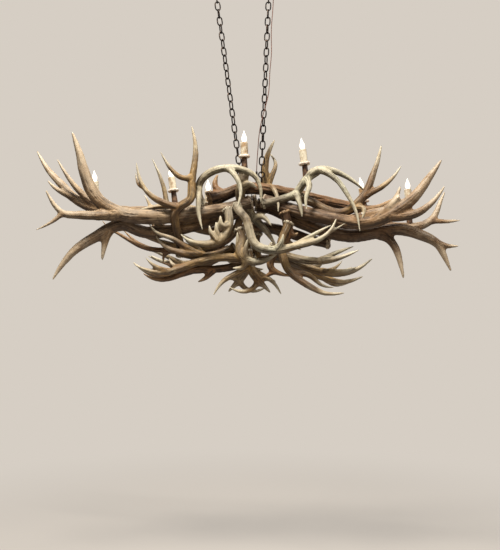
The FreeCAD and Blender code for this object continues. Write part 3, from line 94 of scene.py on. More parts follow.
class Wire:
    """An output of a node. Sums and other steps on it add nodes to its tree."""

    def __init__(self, tree, socket):
        self.tree, self.socket = tree, socket

    def maths(self, operation, *others):
        return self.tree("ShaderNodeMath", dict(enumerate((self, *others))),
                         operation=operation)

    def __add__(self, other):
        return self.maths("ADD", other)

    def __sub__(self, other):
        return self.maths("SUBTRACT", other)

    def __mul__(self, other):
        return self.maths("MULTIPLY", other)

    def __truediv__(self, other):
        return self.maths("DIVIDE", other)

    def ramp(self, low, high, start=0.0, end=1.0):
        """Smooth step of the value from low to high."""
        return self.tree("ShaderNodeMapRange",
                         {"Value": self, "From Min": low, "From Max": high,
                          "To Min": start, "To Max": end}, interpolation_type="SMOOTHSTEP")

    def blend(self, low, high):
        """Colour between two, with this value as the share of the second."""
        return self.tree("ShaderNodeMix", {0: self, 6: low, 7: high}, 2, data_type="RGBA")

    def parts(self):
        return self.tree.outputs("ShaderNodeSeparateXYZ", {0: self})

    def scaled(self, by):
        return self.tree("ShaderNodeVectorMath", {0: self, "Scale": by}, operation="SCALE")

    def blurred(self, iterations, kind="FLOAT"):
        return self.tree("GeometryNodeBlurAttribute",
                         {"Value": self, "Iterations": iterations}, data_type=kind)

    def store(self, word, value, kind="FLOAT"):
        """This geometry with a value kept at its points."""
        return self.tree("GeometryNodeStoreNamedAttribute",
                         {"Geometry": self, "Name": word, "Value": value},
                         data_type=kind, domain="POINT")


class Tree:
    """A node tree. A call adds a node and gives back one of its outputs."""

    def __init__(self, tree, owner):
        self.tree, self.owner = tree, owner

    def node(self, kind, links=None, **settings):
        node = self.tree.nodes.new(kind)
        for key, value in settings.items():
            setattr(node, key, value)
        for name, source in (links or {}).items():
            if isinstance(source, Wire):
                self.tree.links.new(source.socket, node.inputs[name])
            else:
                node.inputs[name].default_value = source
        return node

    def outputs(self, kind, links=None, **settings):
        return [Wire(self, out) for out in self.node(kind, links, **settings).outputs]

    def __call__(self, kind, links=None, output=0, **settings):
        return Wire(self, self.node(kind, links, **settings).outputs[output])

    def named(self, word, kind="FLOAT"):
        return self("GeometryNodeInputNamedAttribute", {"Name": word}, "Attribute",
                    data_type=kind)

    def xyz(self, x=0.0, y=0.0, z=0.0):
        return self("ShaderNodeCombineXYZ", {"X": x, "Y": y, "Z": z})


def piece_from(name, data):
    piece = bpy.data.objects.new(name, data)
    bpy.context.collection.objects.link(piece)
    return piece


def finish(piece, body, slot, *nodes):
    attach(piece, body)
    if nodes:
        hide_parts(*nodes)
    return piece


# %% [markdown]
# ## The lamp cord
# The thin cord that feeds the lamps comes out of the canopy, weaves once through the right
# hand chain and goes into the fixture. It is 4 mm across, limp and 0.91 m long, with both ends
# in the object. Its route and width come first, and one NURBS spline through the route gives it
# an even line.

# %% Lamp cord
CORD_ROUTE = [
    (157.0, 0.0, -71.0), (155.1, -1.0, -127.6), (150.3, -3.0, -184.1), (145.9, -2.0, -240.7),
    (145.5, 1.5, -297.3), (147.2, -1.0, -353.8), (143.8, -6.0, -410.4), (137.4, -8.0, -466.9),
    (136.0, -5.0, -523.5), (131.7, -12.0, -580.1), (119.3, -21.0, -636.6),
    (102.9, -23.0, -693.2), (89.6, -19.0, -749.8), (81.2, -11.0, -806.3),
    (77.8, -4.0, -862.9), (72.9, -1.0, -919.4), (71.1, 0.0, -974.4)]
CORD_DIAMETER = 0.004
cord_curve = bpy.data.curves.new("lamp_cord_line", "CURVE")
cord_curve.dimensions = "3D"
spline = cord_curve.splines.new("NURBS")
spline.points.add(len(CORD_ROUTE) - 1)
for point, place in zip(spline.points, CORD_ROUTE):
    point.co = (*(c / 1000 for c in place), 1.0)
    point.radius = CORD_DIAMETER / 2
spline.order_u = 3
spline.use_endpoint_u = True
cord_curve.resolution_u = 8
cord_curve.bevel_depth = 1.0
cord_curve.bevel_resolution = 3
cord_curve.use_fill_caps = True
lamp_cord = piece_from("woven_lamp_cord", cord_curve)
finish(lamp_cord, "chains", "cord", "lamp_cord")

# %% [markdown]
# ## What an antler's surface looks like
# A shed antler is bone. Long blood grooves run up its beam, the base is pearled and stained
# dark by bark and soil, and the tips are rubbed smooth and pale. Light and shade are painted
# in as well: the undersides are darkened as painted shade, the grooves get painted shade on top
# of their stain, and faces that look up get a painted highlight. The material therefore reads
# what the antler mesh carries: how far along the limb a point is, how deep in a groove, how much
# it faces down, and how worn the antler is as a whole, a value that on the far side is painted
# shade. Object coordinates add blotches.

# %% Antler material
def new_material(name):
    """A new material's tree, and the object coordinates in it."""
    material = bpy.data.materials.new(name)
    material.use_nodes = True
    material.node_tree.nodes.clear()
    tree = Tree(material.node_tree, material)
    return tree, tree("ShaderNodeTexCoord", output="Object")


def surface(shader):
    """The material whose surface is a shader."""
    shader.tree.node("ShaderNodeOutputMaterial", {"Surface": shader})
    return shader.tree.owner


def principled(tree, links, height=None, distance=0.001, strength=1.0):
    """Principled shader, with a bump where a height is given."""
    if height:
        links["Normal"] = tree("ShaderNodeBump", {"Height": height, "Distance": distance,
                                                  "Strength": strength})
    return tree("ShaderNodeBsdfPrincipled", links)


def cloud(place, scale, detail=3.0, rough=0.55, stretch=None):
    """A noise pattern over a place, if need be drawn out along one way."""
    if stretch:
        place = place.tree("ShaderNodeMapping", {"Vector": place, "Scale": stretch})
    return place.tree("ShaderNodeTexNoise", {"Vector": place, "Scale": scale,
                                             "Detail": detail, "Roughness": rough})


def antler_material(name, fresh, worn, grain_dark_and_shade, stain, tip, warm):
    """fresh and worn are the ends of the colour; the third, dark colour is for grooves, streaks
    and specks, and for painted shade on the undersides and in the grooves; stain is for the
    base;
    tip is for rubbed places and for a painted highlight on faces that look up; warm is for
    golden patches."""
    tree, place = new_material(name)
    tone, groove, aged, under, seam, burr, along = (
        tree("ShaderNodeAttribute", output="Fac", attribute_name=word)
        for word in ("tone", "groove", "aged", "under", "seam", "burr", "along"))
    bark = tree("ShaderNodeAttribute", output="Vector", attribute_name="bark")
    blotch = cloud(place, 9.0, 4.0)
    golden = cloud(place, 5.0, 2.0)
    wide_streak = cloud(bark, 1.0, 3.0, 0.5, (60.0, 60.0, 8.0))
    streak = cloud(bark, 1.0, 5.0, 0.6, (190.0, 190.0, 17.0))
    mottle = cloud(place, 34.0, 6.0, 0.68)
    speck = cloud(place, 420.0, 2.0)
    pores = cloud(place, 190.0, 2.0)
    based = tone + (cloud(place, 22.0) - 0.5) * 0.5
    fading = tone.ramp(0.5, 0.85, 1.0, 0.15) * seam.ramp(0.0, 0.5, 1.0, 0.0)
    # Grooves darken towards the dark colour: partly their stain, partly painted shade in the
    # hollows.
    groove_stain_and_shade = groove.ramp(0.0, 0.75, 0.62, 0.0) * tone.ramp(0.6, 0.9, 1.0, 0.15)
    # Painted highlight, partly sun bleaching: faces that look up are lightened towards the tip
    # colour, less so on old antlers.
    bleach_and_top_highlight = under.ramp(0.0, 0.35, 0.4, 0.0) * (
        blotch.ramp(0.4, 0.6) * aged.ramp(0.2, 0.8, 1.0, 0.1))
    pith = burr.ramp(0.25, 0.8, 0.0, 0.65).maths(
        "MAXIMUM", along.ramp(0.0012, 0.0042, 1.0, 0.0))
    body = (aged + (blotch - 0.5) * 1.5).ramp(0.1, 0.9).blend(fresh, worn)
    for share, colour in (
            (golden.ramp(0.38, 0.58) * aged.ramp(0.1, 0.8, 0.3, 0.85), warm),
            (wide_streak.ramp(0.44, 0.66, 0.0, 0.4) * fading, stain),
            (mottle.ramp(0.48, 0.62, 0.0, 0.62) * fading, stain),
            (streak.ramp(0.5, 0.7, 0.0, 0.5) * fading, grain_dark_and_shade),
            (based.ramp(0.0, 0.34, 0.7, 0.0), stain),
            (based.ramp(0.55, 1.0, 0.0, 0.85), tip),
            (streak.ramp(0.3, 0.46, 0.35, 0.0) * fading, tip),
            # Painted light on this line: shade in the grooves on top of their stain, a highlight
            # on faces that look up, and shade on the undersides by how far they face down.
            (groove_stain_and_shade, grain_dark_and_shade), (bleach_and_top_highlight, tip), (under * 0.72, grain_dark_and_shade),
            (speck.ramp(0.55, 0.75) * (fading * 0.25), grain_dark_and_shade),
            (pith, pores.ramp(0.46, 0.58).blend(tip, stain))):
        body = share.blend(body, colour)
    return surface(principled(tree, {
        "Base Color": body, "Roughness": tone.ramp(0.3, 1.0, 0.62, 0.4),
        "Specular IOR Level": 0.4}, (streak + speck * 0.35) * fading, 0.002, 0.8))


# Each row: the slot, the material, and its colours in the order that the function names.
ANTLER_FINISH = {
    slot: antler_material(name, *(tint(*colour) for colour in colours))
    for slot, name, *colours in (
        ("elk_antler", "elk_bone", (196, 168, 130), (126, 96, 68), (36, 24, 16),
         (76, 53, 36), (226, 208, 178), (160, 124, 84)),
        ("mule_antler", "mule_deer_bone", (196, 190, 162), (130, 96, 60), (38, 27, 18),
         (88, 65, 42), (230, 220, 192), (172, 138, 84)),
        ("dark_antler", "bark_brown_bone", (150, 112, 74), (92, 62, 40), (16, 10, 7),
         (58, 39, 25), (184, 152, 112), (140, 94, 52)))}
print("antler finishes:", ", ".join(ANTLER_FINISH))

# %% [markdown]
# ## The lines of the antlers
# Each antler was laid out as one line for its beam and one for each tine, in
# millimetres from the datum. A natural cubic spline makes those lines smooth. The beam swells
# towards its forks and tapers late, and a tine takes a share of the beam's thickness
# where it starts. Six antlers close the far side of the basket. They are ones from the near
# side, given half a turn and a shift in millimetres.

# %% Layout of the antlers
# Each: the kind, the girth, the age from bleached to brown (for the bottom centre partly painted
# shade), the beam and its tines.
ANTLERS = {
    "elk_antler_spine": (
        "elk", 0.96, 0.5,
        [(-206, -66, 38), (-132, -52, 62), (-50, -50, 94), (64, -50, 96), (206, 6, 82),
         (374, 85, 60), (524, 125, 36), (656, 150, 30), (780, 165, 96)],
        [(-132, -52, 62), (-170, -50, 116), (-154, -48, 174)],
        [(524, 125, 36), (464, 150, -2), (382, 170, -46)]),
    "elk_antler_left_front": (
        "elk", 1.08, 0.45,
        [(14, -58, 32), (-108, -86, -8), (-236, -118, -34), (-378, -148, -54),
         (-540, -182, -60), (-646, -200, -36), (-714, -215, 14), (-770, -230, 118),
         (-800, -243, 228), (-834, -255, 332)],
        [(-646, -200, -36), (-710, -228, -64), (-794, -250, -64), (-862, -270, -60),
         (-904, -285, -20), (-940, -300, 46)],
        [(-846, -265, -64), (-904, -285, -96), (-984, -305, -144)],
        [(-236, -118, -34), (-306, -100, -78), (-370, -90, -130)]),
    "elk_antler_right_front": (
        "elk", 1.04, 0.75,
        [(64, -50, 42), (152, -72, 10), (258, -100, -28), (370, -132, -58), (482, -160, -84),
         (592, -188, -84), (682, -208, -46), (762, -224, 8), (834, -238, 94), (908, -250, 200)],
        [(700, -210, -38), (770, -232, -60), (836, -248, -24), (880, -256, 20), (916, -262, 72)],
        [(592, -188, -84), (662, -214, -20), (694, -222, 22), (716, -228, 80)],
        [(506, -165, -82), (582, -190, -48), (652, -215, -28), (710, -240, 30)]),
    "elk_antler_left_lower": (
        "elk", 0.92, 0.6,
        [(24, -22, -2), (-114, -52, -42), (-288, -82, -96), (-432, -108, -126),
         (-526, -128, -124), (-608, -148, -96), (-672, -165, -118), (-730, -182, -156),
         (-814, -205, -218), (-876, -222, -292), (-918, -240, -370)],
        [(-672, -165, -118), (-688, -178, -188), (-698, -185, -274)],
        [(-432, -108, -126), (-482, -86, -62), (-536, -60, -28)]),
    "elk_antler_right_lower": (
        "elk", 1.0, 1.15,
        [(36, 6, 28), (134, -18, -6), (252, -45, -68), (376, -75, -118), (500, -103, -144),
         (632, -128, -126), (724, -145, -116), (816, -160, -144), (898, -172, -190),
         (934, -180, -260), (960, -186, -326)],
        [(890, -171, -184), (942, -186, -202), (998, -198, -204)],
        [(612, -125, -130), (684, -148, -176), (716, -162, -250), (736, -172, -360)]),
    "elk_antler_left_back": (
        "elk", 0.9, 0.5,
        [(46, 40, 58), (-66, 55, 30), (-188, 66, -4), (-404, 80, -2), (-612, 96, 4),
         (-742, 110, 16), (-832, 120, 36), (-914, 135, 84), (-986, 150, 156), (-1058, 168, 232),
         (-1134, 188, 350)],
        [(-898, 132, 74), (-964, 112, 106), (-1014, 100, 136), (-1046, 90, 170)],
        [(-768, 112, 22), (-846, 92, 82), (-930, 76, 176), (-992, 66, 276)]),
    "elk_antler_right_back": (
        "elk", 0.86, 0.8,
        [(66, 34, 32), (208, 60, 6), (390, 92, -34), (584, 122, -58), (786, 142, -70),
         (894, 156, -62), (968, 166, -20), (1008, 174, 56), (1042, 182, 130)],
        [(946, 162, -36), (1032, 152, -38), (1110, 142, -32)]),
    "elk_antler_centre_low": (
        "elk", 0.84, 1.0,
        [(404, -44, -174), (342, -22, -162), (256, 6, -134), (166, 34, -100), (66, 56, -82),
         (-46, 70, -90), (-158, 80, -98), (-272, 90, -82), (-376, 102, -44), (-460, 118, 10)],
        [(166, 34, -100), (198, 60, -152), (272, 90, -194)]),
    "mule_antler_left_top": (
        "deer", 1.05, 1.05,
        [(-332, -92, -252), (-338, -112, -182), (-350, -148, -114), (-354, -180, -52),
         (-326, -190, -12), (-282, -190, 18), (-274, -185, 80), (-264, -178, 176),
         (-258, -172, 278), (-278, -168, 384)],
        [(-346, -186, -24), (-420, -196, 8), (-484, -204, 54), (-520, -210, 118),
         (-536, -214, 196)],
        [(-480, -203, 48), (-524, -190, 88), (-544, -180, 158)],
        [(-276, -184, 94), (-320, -196, 124), (-380, -208, 174), (-422, -218, 246)]),
    "mule_antler_left_rear": (
        "deer", 0.9, 0.5,
        [(-176, 30, -20), (-296, 20, 10), (-406, 12, 22), (-496, 8, 12), (-574, -2, -8)],
        [(-406, 12, 22), (-432, 4, 116), (-460, -2, 196), (-492, -8, 264)],
        [(-486, 8, 12), (-514, 24, 50), (-536, 36, 88)]),
    "mule_antler_left_arch": (
        "deer", 0.95, 0.2,
        [(-222, -112, 2), (-248, -132, 72), (-230, -142, 124), (-178, -148, 164),
         (-110, -150, 180), (-38, -146, 174), (24, -140, 146), (56, -134, 80), (58, -130, 12)],
        [(-124, -150, 178), (-66, -188, 134), (-40, -212, 56), (-58, -226, -34)],
        [(-236, -140, 112), (-242, -166, 36), (-240, -180, -46), (-220, -190, -130)]),
    "mule_antler_centre_right": (
        "deer", 0.95, 0.75,
        [(120, 4, 32), (96, 9, 98), (82, 12, 184), (88, 9, 258), (132, 2, 362)],
        [(88, 9, 128), (124, 26, 196), (136, 34, 244), (102, 38, 302)],
        [(88, 9, 148), (114, -60, 104), (140, -104, 38), (142, -120, -32)]),
    "mule_antler_centre_post": (
        "deer", 1.25, 0.45,
        [(-22, -82, 184), (-34, -76, 120), (-44, -66, 60), (-14, -50, 2), (24, -30, -44),
         (74, -34, -98), (134, -44, -188)],
        [(-36, -70, 88), (10, -96, 110), (38, -112, 88)],
        [(4, -32, -18), (64, -70, -44), (112, -96, -98)]),
    "mule_antler_right_arch": (
        "deer", 1.0, 0.05,
        [(64, -84, 16), (156, -102, 34), (232, -116, 68), (274, -124, 126), (312, -130, 166),
         (380, -135, 176), (452, -130, 154), (522, -122, 112), (572, -112, 70)],
        [(352, -134, 174), (418, -176, 120), (470, -206, 36), (506, -218, -44),
         (522, -226, -142)],
        [(298, -128, 154), (344, -112, 168), (392, -100, 206)],
        [(290, -127, 144), (290, -164, 90), (272, -182, 24), (276, -190, -34)],
        [(242, -118, 72), (242, -150, 16), (256, -164, -64)]),
    "mule_antler_right_top": (
        "deer", 1.1, 0.9,
        [(250, -78, 48), (312, -96, 20), (382, -124, -22), (456, -146, -36), (516, -160, 0),
         (562, -164, 56), (596, -160, 138), (624, -156, 218), (642, -152, 294)],
        [(558, -164, 48), (628, -172, 78), (684, -178, 122), (732, -186, 186)],
        [(520, -160, 4), (546, -190, -24), (536, -204, -78)]),
    "mule_antler_front_centre": (
        "deer", 1.05, 0.35,
        [(-62, -118, 2), (-48, -150, -28), (-14, -184, -76), (6, -204, -144), (28, -214, -198),
         (80, -220, -224), (150, -222, -224), (230, -220, -206), (328, -214, -176),
         (384, -208, -132), (416, -202, -72)],
        [(118, -221, -228), (152, -240, -192), (160, -250, -150)],
        [(342, -213, -170), (410, -196, -124), (464, -186, -90)],
        [(230, -220, -206), (306, -196, -150), (396, -180, -100)]),
    "mule_antler_front_left": (
        "deer", 1.05, 0.45,
        [(-106, -126, -14), (-94, -154, -72), (-108, -168, -136), (-138, -174, -174),
         (-194, -178, -192), (-256, -182, -188), (-298, -186, -170), (-326, -190, -146)],
        [(-166, -176, -186), (-180, -194, -144), (-188, -202, -104)],
        [(-128, -172, -166), (-154, -188, -124), (-158, -194, -86)],
        [(-110, -168, -140), (-128, -190, -106), (-136, -198, -56)]),
    "mule_antler_bowl": (
        "deer", 1.05, 0.6,
        [(-52, -138, -112), (-36, -160, -186), (-40, -176, -232), (-10, -186, -268),
         (38, -192, -280), (90, -196, -266), (136, -198, -238)],
        [(-34, -181, -248), (-14, -206, -210), (-4, -216, -168)],
        [(14, -189, -276), (-24, -172, -298), (-82, -160, -306)]),
    "mule_antler_low_left_front": (
        "deer", 1.05, 0.85,
        [(34, -150, -276), (-44, -146, -260), (-120, -148, -254), (-206, -152, -264),
         (-282, -157, -290), (-348, -162, -316), (-424, -172, -326), (-484, -180, -318),
         (-544, -192, -292)],
        [(-44, -146, -260), (-52, -164, -206), (-56, -178, -134)],
        [(-410, -170, -324), (-460, -186, -290), (-492, -196, -256)],
        [(-320, -160, -306), (-364, -140, -290), (-388, -128, -254)]),
    "mule_antler_low_left_dark": (
        "deer", 0.95, 0.4,
        [(-4, -92, -274), (-102, -108, -300), (-198, -122, -310), (-284, -132, -318),
         (-354, -142, -346), (-426, -150, -362), (-472, -156, -352), (-508, -160, -330)],
        [(-322, -138, -334), (-372, -118, -298), (-432, -104, -272)],
        [(-170, -118, -308), (-208, -124, -350), (-250, -128, -372)]),
    "mule_antler_low_left_upper": (
        "deer", 1.05, 1.0,
        [(-64, -104, -200), (-150, -122, -238), (-236, -132, -248), (-312, -139, -236),
         (-374, -138, -216), (-418, -142, -188), (-450, -146, -146)],
        [(-256, -107, -242), (-312, -138, -198), (-378, -154, -160), (-438, -164, -138),
         (-482, -172, -92)],
        [(-190, -96, -238), (-254, -78, -202), (-318, -66, -162)]),
    "mule_antler_left_thin": (
        "deer", 0.72, 0.3,
        [(-114, -18, -200), (-224, -31, -222), (-322, -42, -220), (-414, -42, -210),
         (-500, -32, -200), (-578, -42, -168), (-650, -50, -126), (-698, -55, -96),
         (-728, -60, -60)],
        [(-500, -32, -200), (-572, -14, -158), (-640, 0, -92)],
        [(-412, -21, -212), (-426, -26, -244), (-424, -28, -272)]),
    "mule_antler_left_middle": (
        "deer", 0.95, 1.0,
        [(-40, -22, -28), (-80, -24, -126), (-178, -30, -188), (-292, -42, -198),
         (-388, -54, -182), (-456, -62, -162), (-524, -70, -138), (-582, -76, -110)],
        [(-322, -43, -184), (-382, -20, -136), (-454, -4, -90)]),
    # Its high age is partly painted shade at the bottom of the basket.
    "mule_antler_bottom_centre": (
        "deer", 1.1, 0.95,
        [(-14, -110, -216), (0, -119, -264), (14, -124, -314), (44, -126, -362),
         (74, -128, -392), (104, -130, -424)],
        [(8, -122, -294), (-58, -122, -330), (-126, -134, -370), (-172, -144, -438)],
        [(34, -125, -346), (20, -132, -400), (-34, -140, -418), (-98, -146, -396)],
        [(40, -126, -358), (88, -96, -354), (134, -86, -368)]),
    "mule_antler_bottom_right": (
        "deer", 1.2, 0.35,
        [(170, -112, -22), (188, -114, -94), (170, -110, -176), (122, -104, -238),
         (106, -100, -296), (146, -100, -326), (206, -100, -342)],
        [(106, -100, -292), (82, -90, -344), (54, -76, -382)],
        [(188, -113, -110), (218, -124, -144), (240, -132, -130)]),
    "mule_antler_right_upper_basket": (
        "deer", 1.0, 0.4,
        [(92, -120, -196), (164, -130, -236), (244, -142, -262), (330, -156, -272),
         (404, -168, -266), (460, -178, -248), (504, -186, -224)],
        [(368, -162, -272), (454, -190, -252), (524, -204, -222)],
        [(310, -153, -272), (418, -136, -232), (510, -126, -198)]),
    "mule_antler_right_middle_basket": (
        "deer", 1.0, 0.6,
        [(102, -76, -212), (186, -86, -256), (262, -95, -292), (344, -104, -318),
         (430, -113, -330), (506, -122, -316), (598, -132, -256)],
        [(384, -103, -326), (456, -134, -318), (520, -150, -300)]),
    "mule_antler_right_low_basket": (
        "deer", 1.0, 0.75,
        [(114, -50, -228), (202, -56, -274), (290, -60, -314), (374, -58, -348),
         (456, -66, -368), (514, -72, -358), (560, -80, -340)],
        [(350, -44, -336), (422, -26, -376), (498, -14, -372)]),
    "mule_antler_right_bottom": (
        "deer", 1.0, 0.8,
        [(196, -140, -80), (172, -150, -138), (152, -154, -200), (164, -160, -254),
         (180, -166, -302), (224, -172, -352), (290, -178, -396), (360, -184, -428),
         (454, -192, -426)],
        [(228, -172, -356), (292, -148, -342), (350, -136, -386), (412, -128, -398)]),
}
FAR_SIDE = {
    "mule_antler_rear_centre": ("mule_antler_front_centre", (4, -59, 10)),
    "mule_antler_rear_low_right": ("mule_antler_low_left_front", (-4, -62, 14)),
    "mule_antler_rear_upper_left": ("mule_antler_right_upper_basket", (0, -112, 0)),
    "mule_antler_rear_low_left": ("mule_antler_right_middle_basket", (0, -45, 0)),
    "mule_antler_rear_bottom": ("mule_antler_bottom_centre", (-4, -17, 14)),
    "mule_antler_rear_bowl": ("mule_antler_bowl", (-4, -62, 14)),
}
KINDS = {
    "elk": {"beam": 54, "swell": 0.2, "taper": 6.5, "tip": 0.12, "tine": 0.74,
            "slot": "elk_antler", "web": 7.0, "sides": 28, "grooves": 3.2,
            "depth": 0.0022, "grain": 0.0038},
    "deer": {"beam": 37, "swell": 0.1, "taper": 3.4, "tip": 0.15, "tine": 0.82,
             "slot": "mule_antler", "web": 4.5, "sides": 22, "grooves": 2.4,
             "depth": 0.0011, "grain": 0.003},
}
BEAM_STEP, TINE_STEP = 90.0, 72.0
TINE_TIP, TINE_TAPER = 0.14, 1.7
FINE_STEP = 4.5


def spline_through(points):
    """Dense points on a natural cubic spline, and the distance run at each."""
    points = np.array(points, float)
    knots = np.append(0.0, np.cumsum(np.linalg.norm(np.diff(points, axis=0), axis=1)))
    gaps = np.diff(knots)
    count = len(points)
    matrix, right = np.eye(count), np.zeros((count, 3))
    for k in range(1, count - 1):
        matrix[k, k - 1:k + 2] = gaps[k - 1], 2 * (gaps[k - 1] + gaps[k]), gaps[k]
        right[k] = 6 * ((points[k + 1] - points[k]) / gaps[k]
                        - (points[k] - points[k - 1]) / gaps[k - 1])
    curving = np.linalg.solve(matrix, right)
    dense = []
    for k in range(count - 1):
        for t in np.linspace(0, gaps[k], 60, endpoint=(k == count - 2)):
            s, gap = gaps[k] - t, gaps[k]
            dense.append(curving[k] * s ** 3 / (6 * gap) + curving[k + 1] * t ** 3 / (6 * gap)
                         + (points[k] / gap - curving[k] * gap / 6) * s
                         + (points[k + 1] / gap - curving[k + 1] * gap / 6) * t)
    dense = np.array(dense)
    run = np.append(0.0, np.cumsum(np.linalg.norm(np.diff(dense, axis=0), axis=1)))
    return dense, run


def at(dense, run, places):
    return np.stack([np.interp(places, run, dense[:, axis]) for axis in range(3)], axis=1)


def beam_radius(rule, thick, share):
    swollen = 1 + rule["swell"] * np.sin(np.pi * share)
    return thick * swollen * (1 - (1 - rule["tip"]) * share ** rule["taper"])


def stations(length, blunt, pointed):
    """Distances along a limb, close together where its ends are rounded off."""
    turns = np.radians([7, 25, 45, 68])
    middle = np.linspace(blunt, length - pointed, max(3, int(length / FINE_STEP)))
    return np.concatenate([blunt * (1 - np.cos(turns)), middle,
                           length - pointed * (1 - np.cos(turns[::-1]))])


def rounded_ends(places, length, blunt, pointed):
    """Share of the full radius that is left near the two ends."""
    from_base = np.clip(1 - places / blunt, 0, 1)
    from_tip = np.clip(1 - (length - places) / pointed, 0, 1)
    return np.sqrt(1 - from_base ** 2) * np.sqrt(1 - from_tip ** 2)


print(len(ANTLERS), "laid out,", len(FAR_SIDE), "turned round for the far side")

# %% [markdown]
# A limb becomes a string of points with a radius at each. Where a tine leaves the beam it
# flares, as bone does at a fork, so the two surfaces run into each other. The base of the
# beam carries the burr, the knobbly ring where the antler was shed.

# %% Strings of points with a radius
BURR_SPREAD, BURR_PLACE = 8.0, 9.0
BLUNT_BASE, BLUNT_TINE = 0.32, 0.3
TINE_GAP = 900.0            # keeps the noise of one limb apart from the next one's
FAR_SIDE_INWARD = 2.5       # mm, so that the far side stays within the box


def limbs_of(rule, girth, beam, *tines, stump=0.0):
    """Every limb as a dictionary of stations and values at them."""
    thick = rule["beam"] / 2 * girth
    dense, run = spline_through(beam)
    coarse_count = max(3, int(round(run[-1] / BEAM_STEP)) + 1)
    coarse = at(dense, run, np.linspace(0, run[-1], coarse_count))
    coarse_radii = list(beam_radius(rule, thick, np.linspace(0, 1, coarse_count)))
    coarse_radii[0] *= 1.22
    ends = BLUNT_BASE * thick, 2.0 * rule["tip"] * thick
    places = stations(run[-1], *ends)
    share = places / run[-1]
    radii = beam_radius(rule, thick, share)
    flare = 1 + 0.16 * np.exp(-(places / 40.0) ** 2) + stump * np.exp(-(places / 70.0) ** 2)
    limbs = [{
        "points": at(dense, run, places), "along": places, "tone": share ** 1.15 * 0.9,
        "radius": radii * flare * rounded_ends(places, run[-1], *ends),
        "burr": np.exp(-((places - BURR_PLACE) / BURR_SPREAD) ** 2) * (places > 1.5)}]
    known = list(zip(coarse, coarse_radii))
    for number, tine in enumerate(tines, 1):
        start = np.array(tine[0], float)
        root, root_radius = min(known, key=lambda item: np.linalg.norm(item[0] - start))
        dense, run = spline_through([tuple(root)] + list(tine[1:]))
        thin = root_radius * rule["tine"]
        ends = BLUNT_TINE * thin, 2.4 * TINE_TIP * thin
        places = stations(run[-1], *ends)
        share = places / run[-1]
        radii = thin * (1 - (1 - TINE_TIP) * share ** TINE_TAPER)
        fork = 1 + 0.26 * np.exp(-((places - 0.7 * root_radius) / (0.75 * root_radius)) ** 2)
        limbs.append({
            "points": at(dense, run, places), "along": places + TINE_GAP * number,
            "tone": 0.34 + 0.66 * share, "burr": 0 * places,
            "radius": radii * fork * rounded_ends(places, run[-1], *ends)})
        count = max(3, int(round(run[-1] / TINE_STEP)) + 1)
        steps = np.linspace(0, 1, count)
        known += list(zip(at(dense, run, steps * run[-1]),
                          thin * (1 - (1 - TINE_TIP) * steps ** TINE_TAPER)))
    return limbs


def lengthened(limb, web):
    """The limb with stations beyond both ends, where its radius falls below nothing.

    A skin that is web thicker than the radius then ends in half balls of that radius."""
    turns = np.radians([22, 45, 65, 82])
    further, less = web * np.sin(turns), -web * (1 - np.cos(turns))
    points = limb["points"]
    before = points[0] + np.outer(further[::-1], unit(points[0] - points[3]))
    beyond = points[-1] + np.outer(further, unit(points[-1] - points[-4]))
    grown_limb = {word: np.pad(limb[word].astype(float), len(turns), mode="edge")
                  for word in ("along", "tone", "burr")}
    grown_limb["points"] = np.concatenate([before, points, beyond])
    grown_limb["radius"] = np.concatenate([less[::-1], limb["radius"], less])
    return grown_limb


def unit(way):
    return way / np.linalg.norm(way)


def string_mesh(name, limbs, turned, web):
    """Edges through the stations of every limb, in metres, with their values."""
    sign = np.array((-1, -1, 1)) if turned else np.array((1, 1, 1))
    shift = np.array(turned or (0, 0, 0)) + np.array(DATUM) * 1000
    shift[1] -= FAR_SIDE_INWARD if turned else 0.0
    limbs = [lengthened(limb, web) for limb in limbs]
    points = [limb["points"] * sign + shift for limb in limbs]
    edges, start = [], 0
    for line in points:
        edges += [(start + k, start + k + 1) for k in range(len(line) - 1)]
        start += len(line)
    mesh = bpy.data.meshes.new(name)
    mesh.from_pydata((np.concatenate(points) / 1000).tolist(), edges, [])
    for word, scale in (("radius", 0.001), ("along", 0.001), ("tone", 1.0), ("burr", 1.0)):
        values = np.concatenate([limb[word] for limb in limbs]) * scale
        stored = mesh.attributes.new("thick" if word == "radius" else word, "FLOAT", "POINT")
        stored.data.foreach_set("value", values.astype(np.float32))
    return piece_from(name, mesh)


# %% [markdown]
# ## The tree that grows bone round a line
# A sweep along the strings gives plain horns that only cross each other. A volume made of
# them, a little too thick, and a second one that takes that surplus off again leave one skin
# with smooth webs at the forks. The plain sweep stays inside as a core, and each point of the
# skin takes its values from the nearest point of the core. The tree then works on the skin:
# broad swellings, long grooves that follow the beam, pearls near the base and the knobs of
# the burr. All are noise in the limb's own coordinates, so a groove follows every bend. The
# seam between two limbs is stored as well, because the noise jumps there and has to fade.

# %% Geometry tree of an antler
def new_tree(name, inputs):
    """A geometry tree, and the wires of its named inputs."""
    group = bpy.data.node_groups.new(name, "GeometryNodeTree")
    face = group.interface
    face.new_socket("Geometry", in_out="INPUT", socket_type="NodeSocketGeometry")
    for label, (kind, value) in inputs.items():
        socket = face.new_socket(label, in_out="INPUT", socket_type="NodeSocket" + kind)
        if value is not None:
            socket.default_value = value
    face.new_socket("Geometry", in_out="OUTPUT", socket_type="NodeSocketGeometry")
    tree = Tree(group, group)
    return tree, {out.socket.name: out for out in tree.outputs("NodeGroupInput")}


def close_tree(geometry, material):
    """Plain smooth geometry with its material as the tree's result; the tree itself."""
    tree = geometry.tree
    real = tree("GeometryNodeRealizeInstances", {"Geometry": geometry})
    even = tree("GeometryNodeSetShadeSmooth", {"Geometry": real})
    dressed = tree("GeometryNodeSetMaterial", {"Geometry": even, "Material": material})
    tree.node("NodeGroupOutput", {"Geometry": dressed})
    return tree.owner


